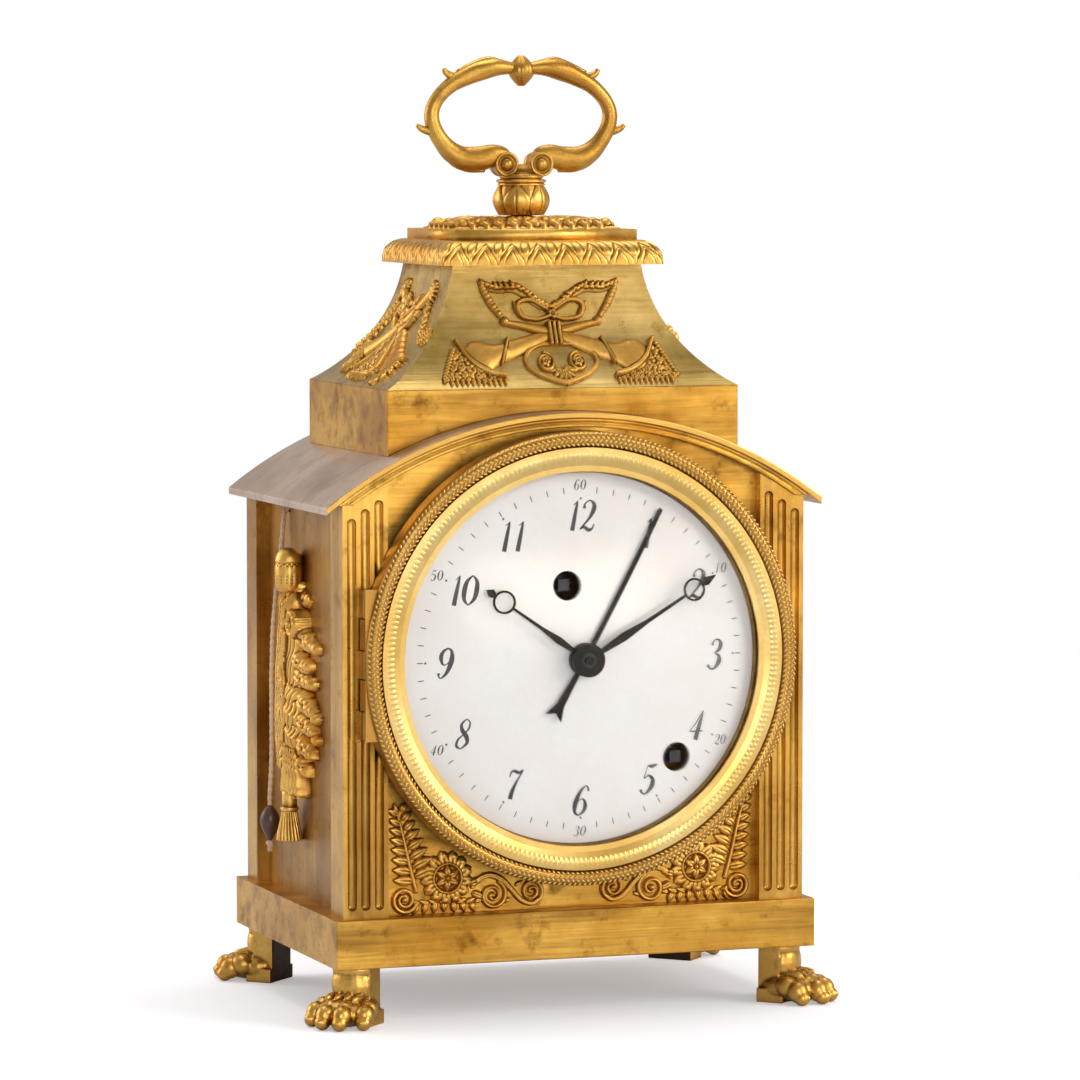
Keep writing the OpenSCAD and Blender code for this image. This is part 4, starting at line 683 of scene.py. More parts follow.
    def cluster(self, corners: Sequence[Point], size: float, height: float, seed: int, count: int) -> None:
        """Fill a triangle with small domes, as a bunch of flowers.

        Args:
            corners: Three corners.
            size: Radius of a dome.
            height: Height of the bunch at its middle.
            seed: Seed of the places.
            count: Number of domes.
        """
        rng = np.random.default_rng(seed)
        a, b, c = (np.array(p, float) for p in corners)
        for _ in range(count):
            u, v = rng.random(2)
            if u + v > 1:
                u, v = 1 - u, 1 - v
            p = a + u * (b - a) + v * (c - a)
            inner = 3 * min(u, v, 1 - u - v)
            radius = size * (0.7 + 0.6 * rng.random())
            self.ball((p[0], p[1]), radius, height * (0.5 + 0.5 * inner) * (0.8 + 0.3 * rng.random()))

    def build(self, name: str, place: Place, limit: float, sink: float = 0.06) -> Object:
        """Turn the raised cells into a mesh.

        Args:
            name: Name of the object.
            place: Maps x, y and height to points in millimetres.
            limit: Greatest height.
            sink: How far the rim lies under the ground.

        Returns:
            The object.
        """
        h = np.minimum(self.h, limit)
        up = h > 0
        cells = up[:-1, :-1] | up[1:, :-1] | up[:-1, 1:] | up[1:, 1:]
        ci, cj = np.nonzero(cells)
        index = -np.ones(h.shape, int)
        used = np.zeros(h.shape, bool)
        for di, dj in ((0, 0), (1, 0), (0, 1), (1, 1)):
            used[ci + di, cj + dj] = True
        index[used] = np.arange(used.sum())
        heights = np.where(up, h, -sink)[used]
        points = place(self.gx[used], self.gy[used], heights)
        faces = np.stack([index[ci, cj], index[ci + 1, cj], index[ci + 1, cj + 1], index[ci, cj + 1]], axis=1)
        return mesh_object(name, points, faces)


def tube_faces(rings: int, steps: int, outward: bool = True, capped: bool = True) -> list[tuple[int, ...]]:
    """Join rings of points into a tube.

    Args:
        rings: Number of rings.
        steps: Points in a ring.
        outward: Whether the rings run so that their faces point outwards.
        capped: Whether both ends are closed.

    Returns:
        The faces.
    """
    faces = []
    for i in range(rings - 1):
        near, far = i * steps, (i + 1) * steps
        for k in range(steps):
            n = (k + 1) % steps
            faces.append(
                (near + k, near + n, far + n, far + k) if outward else (near + k, far + k, far + n, near + n)
            )
    if capped:
        first, last = tuple(range(steps)), tuple((rings - 1) * steps + k for k in range(steps))
        faces += [first[::-1], last] if outward else [first, last[::-1]]
    return faces


def lathe(
    name: str, profile: Sequence[Point], steps: int, at: Sequence[float], wave: Optional[Callable] = None
) -> Object:
    """Turn a profile round an upright axis.

    Args:
        name: Name of the object.
        profile: Rows of radius and height.
        steps: Number of meridians.
        at: Foot of the axis.
        wave: Adds to the radius from the angle, the height and the radius.

    Returns:
        The object.
    """
    rows = np.asarray(profile, float)
    a = np.linspace(0, 2 * np.pi, steps, endpoint=False)
    r = np.repeat(rows[:, 0][:, None], steps, 1)
    z = np.repeat(rows[:, 1][:, None], steps, 1)
    aa = np.repeat(a[None, :], len(rows), 0)
    if wave is not None:
        r = r + wave(aa, z, r)
    points = np.stack([at[0] + r * np.cos(aa), at[1] + r * np.sin(aa), at[2] + z], axis=-1).reshape(-1, 3)
    return mesh_object(name, points, tube_faces(len(rows), steps))


def sweep(
    name: str, rows: Sequence[Sequence[float]], y: float, steps: int, wave: Optional[Callable] = None
) -> Object:
    """Sweep an oval along a path in an upright plane.

    Args:
        name: Name of the object.
        rows: Rows of x, z, half width in the plane and half depth.
        y: The plane.
        steps: Points round the oval.
        wave: Scales the oval from the run and the angle.

    Returns:
        The object.
    """
    p = np.asarray(rows, float)
    tangent = np.gradient(p[:, :2], axis=0)
    tangent /= np.linalg.norm(tangent, axis=1)[:, None]
    normal = np.stack([-tangent[:, 1], tangent[:, 0]], axis=1)
    run = np.concatenate([[0], np.cumsum(np.linalg.norm(np.diff(p[:, :2], axis=0), axis=1))])
    a = np.linspace(0, 2 * np.pi, steps, endpoint=False)
    scale = np.ones((len(p), steps)) if wave is None else wave(run[:, None], a[None, :])
    across = p[:, 2][:, None] * np.cos(a)[None, :] * scale
    depth = p[:, 3][:, None] * np.sin(a)[None, :] * scale
    x = p[:, 0][:, None] + normal[:, 0][:, None] * across
    z = p[:, 1][:, None] + normal[:, 1][:, None] * across
    points = np.stack([x, y + depth, z], axis=-1).reshape(-1, 3)
    return mesh_object(name, points, tube_faces(len(p), steps, outward=False))


def join(name: str, parts: Iterable[Object]) -> Object:
    """Join mesh objects into one.

    Args:
        name: Name of the result.
        parts: The objects, which are used up.

    Returns:
        The joined object.
    """
    whole = bmesh.new()
    parts = list(parts)
    for part in parts:
        whole.from_mesh(part.data)
    mesh = bpy.data.meshes.new(name)
    whole.to_mesh(mesh)
    whole.free()
    mesh.shade_smooth()
    for part in parts:
        bpy.data.objects.remove(part)
    obj = bpy.data.objects.new(name, mesh)
    bpy.context.scene.collection.objects.link(obj)
    return obj


def remeshed(obj: Object, voxel: float, rounds: int) -> Object:
    """Melt overlapping lumps into one skin.

    Args:
        obj: The lumps.
        voxel: Size of a voxel in millimetres.
        rounds: Rounds of smoothing.

    Returns:
        The same object.
    """
    skin = obj.modifiers.new("skin", "REMESH")
    skin.mode = "VOXEL"
    skin.voxel_size = voxel * MM
    soft = obj.modifiers.new("soft", "SMOOTH")
    soft.iterations = rounds
    soft.factor = 0.5
    bake(obj)
    obj.data.shade_smooth()
    return obj


def lump(at: Sequence[float], size: Sequence[float], segments: int = 20) -> Object:
    """Make an ellipsoid.

    Args:
        at: Its centre.
        size: Its half widths.
        segments: Number of meridians.

    Returns:
        The object.
    """
    rows = segments // 2
    lat = np.linspace(-np.pi / 2, np.pi / 2, rows + 1)[1:-1]
    lon = np.linspace(0, 2 * np.pi, segments, endpoint=False)
    grid = [[(math.cos(t) * math.cos(g), math.cos(t) * math.sin(g), math.sin(t)) for g in lon] for t in lat]
    unit = np.array([(0, 0, -1)] + [p for row in grid for p in row] + [(0, 0, 1)])
    points = unit * np.array(size) + np.array(at)
    faces = []
    for k in range(segments):
        n = (k + 1) % segments
        faces.append((0, 1 + n, 1 + k))
        for i in range(len(lat) - 1):
            a, b = 1 + i * segments, 1 + (i + 1) * segments
            faces.append((a + k, a + n, b + n, b + k))
        last = 1 + (len(lat) - 1) * segments
        faces.append((last + k, last + n, len(points) - 1))
    return mesh_object("lump", points, faces)


def block(low: Sequence[float], high: Sequence[float]) -> Object:
    """Make a box.

    Args:
        low: Low corner.
        high: High corner.

    Returns:
        The object.
    """
    x, y, z = zip(low, high)
    points = [(x[i], y[j], z[k]) for i in (0, 1) for j in (0, 1) for k in (0, 1)]
    faces = [(0, 1, 3, 2), (4, 6, 7, 5), (0, 4, 5, 1), (2, 3, 7, 6), (0, 2, 6, 4), (1, 5, 7, 3)]
    return mesh_object("block", np.array(points), faces)


# Geometry nodes for what repeats


class Repeats:
    """A node tree that repeats a unit round an axis."""

    def __init__(self) -> None:
        """Build the tree."""
        tree = bpy.data.node_groups.new("ring_of_units", "GeometryNodeTree")
        for label, kind in (("Unit", "Geometry"), ("Count", "Int"), ("Centre", "Vector"), ("Step", "Vector")):
            tree.interface.new_socket(label, in_out="INPUT", socket_type="NodeSocket" + kind)
        tree.interface.new_socket("Material", in_out="INPUT", socket_type="NodeSocketMaterial")
        tree.interface.new_socket("Geometry", in_out="OUTPUT", socket_type="NodeSocketGeometry")
        given = add(tree, "NodeGroupInput").outputs
        back = add(tree, "ShaderNodeVectorMath", {0: given["Centre"], "Scale": -1.0}, operation="SCALE")
        unit = add(tree, "GeometryNodeTransform", {"Geometry": given["Unit"], "Translation": back.outputs[0]})
        start = {"Count": given["Count"], "Start Location": given["Centre"], "Offset": (0.0, 0.0, 0.0)}
        spots = add(tree, "GeometryNodeMeshLine", start, mode="OFFSET").outputs[0]
        index = add(tree, "GeometryNodeInputIndex").outputs[0]
        turn = add(tree, "ShaderNodeVectorMath", {0: given["Step"], "Scale": index}, operation="SCALE")
        each = {"Points": spots, "Instance": unit.outputs[0], "Rotation": turn.outputs[0]}
        copies = add(tree, "GeometryNodeInstanceOnPoints", each)
        solid = add(tree, "GeometryNodeRealizeInstances", {0: copies.outputs[0]}).outputs[0]
        painted = add(tree, "GeometryNodeSetMaterial", {"Geometry": solid, "Material": given["Material"]})
        add(tree, "NodeGroupOutput", {0: painted.outputs[0]})
        self.ring = tree

    def round_dial(self, obj: Object, count: int, material: Material) -> Object:
        """Repeat a unit round the dial's axis and keep the result.

        Args:
            obj: The unit at twelve o'clock.
            count: Number of copies.
            material: Their material.

        Returns:
            The same object.
        """
        values = {
            "Count": count,
            "Centre": (0.0, MID_Y * MM, DIAL_Z * MM),
            "Step": (0.0, 2 * math.pi / count, 0.0),
            "Material": material,
        }
        modifier = obj.modifiers.new(self.ring.name, "NODES")
        modifier.node_group = self.ring
        for item in self.ring.interface.items_tree:
            if item.item_type == "SOCKET" and item.in_out == "INPUT" and item.name in values:
                modifier[item.identifier] = values[item.name]
        bake(obj)
        obj.data.shade_smooth()
        return obj


# The photograph's camera, the light and the ground


@dataclass(frozen=True)
class Lamp:
    """A rectangular lamp that looks at the clock.

    Attributes:
        name: Its name.
        at: Its place in metres.
        size: Its width and height in metres.
        power: Its power in watts.
        tint: Its colour.
    """

    name: str
    at: tuple[float, float, float]
    size: Point
    power: float
    tint: str


LAMPS = (
    Lamp("key_box", (1.25, -1.05, 0.72), (0.9, 1.0), 19.0, "FFF6EA"),
    Lamp("front_box", (-0.35, -1.7, 0.45), (0.6, 0.9), 8.4, "FFFFFF"),
    Lamp("low_box", (0.55, -1.75, 0.0), (0.7, 0.5), 4.2, "FFF4E4"),
    Lamp("top_box", (0.1, 0.3, 1.5), (1.0, 1.0), 11.0, "FFFFFF"),
    Lamp("left_box", (-1.2, 1.0, 0.6), (0.9, 1.0), 9.0, "FFF1E6"),
)


@dataclass
class Studio:
    """Camera, lights, floor and surroundings.

    Attributes:
        target: Point that the camera and the lamps look at, in metres.
        offset: The camera's place from there.
        lens: Its focal length in millimetres, on a sensor of 36 mm.
        shift: Shift of its picture across and up.
        floor_half: Half width of the floor in millimetres.
        floor_z: Height of the floor in millimetres.
        glow: Strength of the floor's own light as the camera sees it.
        fade: Distances in metres between which the floor turns to plain white.
        room: Strength of the surroundings' light.
    """

    target: tuple[float, float, float] = (0.0, MID_Y * MM, 0.108)
    offset: tuple[float, float, float] = (-0.4105, -1.1745, 0.089)
    lens: float = 181.26
    shift: Point = (0.01741, -0.0163)
    floor_half: float = 2500.0
    floor_z: float = -0.02
    glow: float = 0.35
    fade: Point = (0.1, 0.26)
    room: float = 0.62

    def camera(self) -> None:
        """Place the camera where the photograph was taken."""
        data = bpy.data.cameras.new("photo_camera")
        data.lens = self.lens
        data.sensor_width = 36.0
        data.shift_x, data.shift_y = self.shift
        data.clip_end = 20.0
        camera = bpy.data.objects.new("photo_camera", data)
        target = Vector(self.target)
        camera.location = target + Vector(self.offset)
        camera.rotation_euler = (target - camera.location).to_track_quat("-Z", "Y").to_euler()
        bpy.context.scene.collection.objects.link(camera)
        bpy.context.scene.camera = camera

    def hang(self, lamp: Lamp) -> None:
        """Put a lamp in its place.

        Args:
            lamp: The lamp.
        """
        data = bpy.data.lights.new(lamp.name, "AREA")
        data.shape = "RECTANGLE"
        data.size, data.size_y = lamp.size
        data.energy = lamp.power
        data.color = linear(lamp.tint)[:3]
        obj = bpy.data.objects.new(lamp.name, data)
        obj.location = lamp.at
        obj.rotation_euler = (Vector(self.target) - Vector(lamp.at)).to_track_quat("-Z", "Y").to_euler()
        bpy.context.scene.collection.objects.link(obj)

    def surroundings(self) -> None:
        """Make the room that the metal reflects, and a white picture behind the clock."""
        world = bpy.data.worlds.new("room")
        bpy.context.scene.world = world
        world.use_nodes = True
        tree = world.node_tree
        ground = tree.nodes["Background"]
        ray = add(tree, "ShaderNodeLightPath")
        way = add(tree, "ShaderNodeTexCoord").outputs["Generated"]
        split = add(tree, "ShaderNodeSeparateXYZ", {0: way})
        lift = add(tree, "ShaderNodeMapRange", {"Value": split.outputs[2], 1: -0.3, 2: 0.9})
        front = add(tree, "ShaderNodeMapRange", {"Value": split.outputs[1], 1: 0.5, 2: -0.8})
        tones = {0: lift.outputs[0], 6: linear("A58F77"), 7: linear("D0CAC2")}
        warm = add(tree, "ShaderNodeMix", tones, data_type="RGBA").outputs[2]
        tones = {0: front.outputs[0], 6: linear("F0E8E0"), 7: warm}
        room = add(tree, "ShaderNodeMix", tones, data_type="RGBA").outputs[2]
        tree.links.new(room, ground.inputs["Color"])
        ground.inputs["Strength"].default_value = self.room
        white = add(tree, "ShaderNodeBackground", {"Color": (1.0, 1.0, 1.0, 1.0), "Strength": 1.0})
        seen = {0: ray.outputs["Is Camera Ray"], 1: ground.outputs[0], 2: white.outputs[0]}
        mix = add(tree, "ShaderNodeMixShader", seen)
        tree.links.new(mix.outputs[0], tree.nodes["World Output"].inputs["Surface"])

    def floor(self) -> None:
        """Lay a white floor that keeps a soft shadow."""
        half, z = self.floor_half, self.floor_z
        corners = [(x * half, y * half, z) for x, y in ((-1, -1), (1, -1), (1, 1), (-1, 1))]
        obj = mesh_object("floor", np.array(corners), [(0, 1, 2, 3)], False)
        material = bpy.data.materials.new("floor_white")
        material.use_nodes = True
        tree = material.node_tree
        shader = tree.nodes["Principled BSDF"]
        shader.inputs["Base Color"].default_value = linear("D9DDE6")
        shader.inputs["Roughness"].default_value = 0.9
        shader.inputs["Specular IOR Level"].default_value = 0.0
        ray = add(tree, "ShaderNodeLightPath")
        glow = add(tree, "ShaderNodeEmission", {"Color": (1.0, 1.0, 1.0, 1.0), "Strength": self.glow})
        lit = add(tree, "ShaderNodeAddShader", {0: shader.outputs[0], 1: glow.outputs[0]})
        white = add(tree, "ShaderNodeEmission", {"Color": (1.0, 1.0, 1.0, 1.0), "Strength": 1.0})
        where = add(tree, "ShaderNodeTexCoord").outputs["Object"]
        reach = add(tree, "ShaderNodeVectorMath", {0: where}, operation="LENGTH").outputs["Value"]
        span = {"Value": reach, 1: self.fade[0], 2: self.fade[1]}
        fade = add(tree, "ShaderNodeMapRange", span, interpolation_type="SMOOTHSTEP")
        seen = add(tree, "ShaderNodeMixShader", {0: fade.outputs[0], 1: lit.outputs[0], 2: white.outputs[0]})
        rays = {0: ray.outputs["Is Camera Ray"], 1: shader.outputs[0], 2: seen.outputs[0]}
        mix = add(tree, "ShaderNodeMixShader", rays)
        tree.links.new(mix.outputs[0], tree.nodes["Material Output"].inputs["Surface"])
        paint(obj, material)

    def build(self) -> None:
        """Set up everything that isn't part of the clock."""
        bpy.context.scene.view_settings.view_transform = "Standard"
        self.surroundings()
        self.floor()
        for lamp in LAMPS:
            self.hang(lamp)
        self.camera()


# Surfaces that ornaments lie on


def on_front(x: Array, z: Array, h: Array) -> Array:
    """Place a relief on the front plate."""
    return np.stack([x, PLATE_Y - h, z], axis=-1)


# Rise of the pagoda roof and radius of its hollow sides
ROOF_RISE, HOLLOW_RADIUS = 27.3, 38.5


def hollow(half: float, top_half: float) -> tuple[float, float, float]:
    """Find the circle that hollows a side of the pagoda roof.

    Args:
        half: Half width at the foot.
        top_half: Half width at the top.

    Returns:
        Distance of the centre from the middle, its height and the radius.
    """
    foot = np.array([half, ATTIC_TOP])
    top = np.array([top_half, ATTIC_TOP + ROOF_RISE])
    run = top - foot
    size = float(np.hypot(*run))
    out = np.array([run[1], -run[0]]) / size
    centre = (foot + top) / 2 + out * math.sqrt(HOLLOW_RADIUS**2 - (size / 2) ** 2)
    return float(centre[0]), float(centre[1]), HOLLOW_RADIUS


# Half widths of the roof's foot and top, seen from the side and from the front
FRONT_HOLLOW = hollow(29.5, 18.0)
SIDE_HOLLOW = hollow(41.7, 22.5)


def in_hollow(
    circle: tuple[float, float, float], z: Array, h: Array
) -> tuple[Array, Array]:
    """Find the distance from the middle and the height of a relief on a hollow side.

    Args:
        circle: Centre and radius.
        z: Height on the surface.
        h: Relief.

    Returns:
        Distance and height.
    """
    reach, up, radius = circle
    out = reach - np.sqrt(np.maximum(radius**2 - (z - up) ** 2, 0))
    return out + h * (reach - out) / radius, z + h * (up - z) / radius


def on_roof_front(x: Array, z: Array, h: Array) -> Array:
    """Place a relief on the front of the pagoda roof."""
    out, up = in_hollow(FRONT_HOLLOW, z, h)
    return np.stack([x, MID_Y - out, up], axis=-1)


def on_roof_side(side: Side) -> Place:
    """Choose a side of the pagoda roof.

    Args:
        side: The side.

    Returns:
        A function that places a relief drawn as y and z.
    """

    def place(y: Array, z: Array, h: Array) -> Array:
        """Place a relief there."""
        out, up = in_hollow(SIDE_HOLLOW, z, h)
        return np.stack([side.value * out, MID_Y + y, up], axis=-1)

    return place


def on_panel(side: Side) -> Place:
    """Choose a side panel.

    Args:
        side: The side.

    Returns:
        A function that places a relief drawn as y and z.
    """

    def place(y: Array, z: Array, h: Array) -> Array:
        """Place a relief there."""
        return np.stack([side.value * (PANEL_X + h), MID_Y + y, z], axis=-1)

    return place


# Sub-assemblies


@dataclass
class Assembly:
    """Something that is dressed.

    Attributes:
        palette: The materials.
        repeats: The node trees.
        made: The pieces made so far.
    """

    palette: Palette
    repeats: Repeats
    made: list[Object] = field(default_factory=list)

    def keep(
        self, obj: Object, body: str, material: Optional[str] = None, stands_for: Sequence[str] = (),
        slot: Optional[str] = None,
    ) -> Object:
        """Hand a finished piece to a body.

        Args:
            obj: The piece.
            body: The CAD body that it rides on.
            material: Name of its material, if it has none yet.
            stands_for: CAD nodes that it replaces.
            slot: Not used.

        Returns:
            The piece.
        """
        if material:
            paint(obj, self.palette[material])
        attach(obj, body)
        if stands_for:
            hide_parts(*stands_for)
        self.made.append(obj)
        return obj


NODE_FINISH = {
    "worn_gilt": ("base_plinth", "front_plate", "archivolt", "attic_block"),
    "worn_gilt_back": ("back_frame", "back_door", "door_latch"),
    "pale_gilt": ("pagoda_roof",),
    "worn_gilt_upright": ("post_front_left", "post_front_right", "post_back_left", "post_back_right"),
    "shaded_side_gilt": ("left_panel", "right_panel"),
    "roof_painted_reflection": ("barrel_roof",),
    "turned_ring": ("bezel",),
    "cut_steel": ("foot_screws", "handle_stem", "hinge_pins", "hammer", "repeat_lever"),
    "dark_steel": ("going_arbor", "alarm_arbor", "cannon_pinion"),
    "plate_brass": (
        "front_movement_plate", "back_movement_plate", "movement_pillars", "minute_wheel", "hour_wheel",
        "alarm_wheel", "going_barrel", "centre_wheel", "third_wheel", "fourth_wheel", "escape_wheel",
        "balance_wheel", "balance_cock",
    ),
    "bell_grey": ("bell",),
    "enamel_white": ("dial",),
    "blued_steel": ("hour_hand", "minute_hand", "alarm_hand"),
    "clear_glass": ("bezel_glass",),
}
SOFT_EDGES = (
    "base_plinth", "attic_block", "post_back_left", "post_back_right", "barrel_roof", "archivolt",
    "hour_hand", "minute_hand", "alarm_hand",
)


@dataclass
class CaseShell(Assembly):
    """The CAD nodes that are shown as they are.

    Attributes:
        edge: Width of the worn edges of the large sheets, in millimetres.
        hand_edge: The same of the hands.
        weld: Distance in metres within which the corners of a node's triangles are joined.
        corner: Least angle in degrees that counts as an edge.
    """

    edge: float = 0.22
    hand_edge: float = 0.06
    weld: float = 0.000002
    corner: float = 38.0

    def build(self) -> None:
        """Paint the nodes and break the sharp edges of the large ones."""
        for finish, names in NODE_FINISH.items():
            for name in names:
                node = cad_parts[name]
                paint(node, self.palette[finish])
        self._steel_arbor()
        for name in SOFT_EDGES:
            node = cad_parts[name]
            weld = node.modifiers.new("weld", "WELD")
            weld.merge_threshold = self.weld
            bevel = node.modifiers.new("edge", "BEVEL")
            bevel.width = (self.hand_edge if name.endswith("hand") else self.edge) * MM
            bevel.segments = 2
            bevel.limit_method = "ANGLE"
            bevel.angle_limit = math.radians(self.corner)
            bevel.harden_normals = False

    def _steel_arbor(self) -> None:
        """Paint the end of the centre wheel's arbor, which shows in the hands' hub."""
        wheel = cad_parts["centre_wheel"]
        wheel.data.materials.append(self.palette["blued_steel"])
        front = box_mm("front_plate")[0][1] * MM
        place = wheel.matrix_world
        for face in wheel.data.polygons:
            if (place @ face.center)[1] < front:
                face.material_index = 1


@dataclass
class PullCord(Assembly):
    """The repeat's pull cord with its bead.

    Attributes:
        back: How far it hangs behind the clock's middle.
        turn: Length of one turn of its strands.
        core: Its radius between two strands.
        swell: How far a strand stands out from there.
        sides: Points round it.
        inside: Height of its run inside the case, and where that starts and ends.
        bead_at: Where the bead hangs and the height of its foot.
        bead_radius: The bead's greatest radius.
        bead_height: The bead's height.
    """

    back: float = 12.7
    turn: float = 3.4
    core: float = 0.42
    swell: float = 0.16
    sides: int = 16
    inside: tuple[float, float, float] = (111.9, -35.2, -49.5)
    bead_at: Point = (-56.5, 35.3)
    bead_radius: float = 2.25
    bead_height: float = 8.3
    ROUTE: ClassVar[tuple[Point, ...]] = (
        (-49.5, 111.9), (-51.8, 111.8), (-52.7, 111.1), (-53, 109.6), (-53.2, 107.5), (-53.4, 105),
        (-53.7, 102), (-54, 99), (-54.4, 96), (-54.8, 93), (-55.2, 89), (-55.6, 85), (-55.8, 81),
        (-55.9, 77), (-56, 73), (-56, 69), (-56, 65), (-56, 61), (-56, 57), (-56.1, 53), (-56.3, 49),
        (-56.5, 46), (-56.5, 43.6),
    )

    def _twisted(self, line: Array) -> tuple[Array, float]:
        """Lay two strands round a line.

        Args:
            line: Its points.

        Returns:
            The points of the cord's skin and the line's length.
        """
        steps = np.linalg.norm(np.diff(line, axis=0), axis=1)
        run = np.concatenate([[0], np.cumsum(steps)])
        fine = np.linspace(0, float(run[-1]), 420)
        centre = np.stack([np.interp(fine, run, line[:, i]) for i in range(3)], axis=1)
        tangent = np.gradient(centre, axis=0)
        tangent /= np.linalg.norm(tangent, axis=1)[:, None]
        side = np.cross(tangent, (0.0, 1.0, 0.0))
        side /= np.linalg.norm(side, axis=1)[:, None]
        ring = np.linspace(0, 2 * np.pi, self.sides, endpoint=False)
        twist = fine[:, None] * 2 * np.pi / self.turn
        radius = self.core + self.swell * np.abs(np.cos(ring[None, :] - twist))
        points = (
            centre[:, None, :]
            + side[:, None, :] * (radius * np.cos(ring))[:, :, None]
            + np.array([0.0, 1.0, 0.0]) * (radius * np.sin(ring))[:, :, None]
        )
        return points, float(run[-1])

    def build(self) -> None:
        """Make a two-strand cord and a bead with a frayed end."""
        y = MID_Y + self.back
        self._inner(y)
        line = np.array([(x, y, z) for x, z in self.ROUTE])
        points, length = self._twisted(line)
        faces = tube_faces(len(points), self.sides)
        points = points.reshape(-1, 3)
        cord = mesh_object("pull_cord_twist", points, faces)
        mark_wear(cord, 1.5)
        bead = self._bead(y)
        self.keep(bead, "pull", "dark_wood", ("cord_bead",), "bead_wood")
        knot = self._knot(y)
        self.keep(knot, "pull", "cord_fibre", slot="twisted_cord")
        paint(cord, self.palette["cord_fibre"])
        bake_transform(cord)
        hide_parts("pull_cord")

    def _inner(self, y: float) -> None:
        """Tie the cord's inner end to the lever, which moves towards the hole.

        Args:
            y: Where the cord runs.
        """
        height, lever, hole = self.inside
        start, end = (lever, y, height), (hole, y, height)
        run = np.linspace(0, lever - hole, 40)

        def strands(a: Array, z: Array, r: Array) -> Array:
            """Swell where a strand lies."""
            return self.swell * np.abs(np.cos(a - 2 * np.pi * z / self.turn))

        profile = [(0.02, 0.0)] + [(self.core, float(v)) for v in run] + [(0.02, float(run[-1]))]
        cord = lathe("pull_cord_inner", profile, self.sides, (0.0, 0.0, 0.0), strands)
        place = Matrix.Translation(Vector(start) * MM) @ Matrix.Rotation(-math.pi / 2, 4, "Y")
        cord.data.transform(place)
        mark_wear(cord, 1.5)
        paint(cord, self.palette["cord_fibre"])
        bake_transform(cord)

    def _bead(self, y: float) -> Object:
        """Make the pear-shaped bead.

        Args:
            y: Where the cord hangs.

        Returns:
            The bead.
        """
        x, foot = self.bead_at
        t = np.linspace(0, 1, 28)
        r = self.bead_radius * np.sin(np.pi * np.clip(t * 0.94 + 0.05, 0, 1) ** 1.35) ** 0.7
        return lathe("bead", [(max(a, 0.5), self.bead_height * b) for a, b in zip(r, t)], 40, (x, y, foot))

    def _knot(self, y: float) -> Object:
        """Make the knot and its frayed end.

        Args:
            y: Where the cord hangs.

        Returns:
            The knot.
        """
        x, z = self.bead_at
        parts = [lump((x, y, z - 0.4), (1.0, 0.9, 0.7)), lump((x + 0.2, y + 0.2, z - 1.0), (0.7, 1.0, 0.6))]
        for k in range(9):
            a = 2 * math.pi * k / 9
            spot = (x + 0.45 * math.cos(a), y + 0.45 * math.sin(a), z - 1.7)
            parts.append(lump(spot, (0.16, 0.16, 0.8), 8))
        return join("knot", parts)


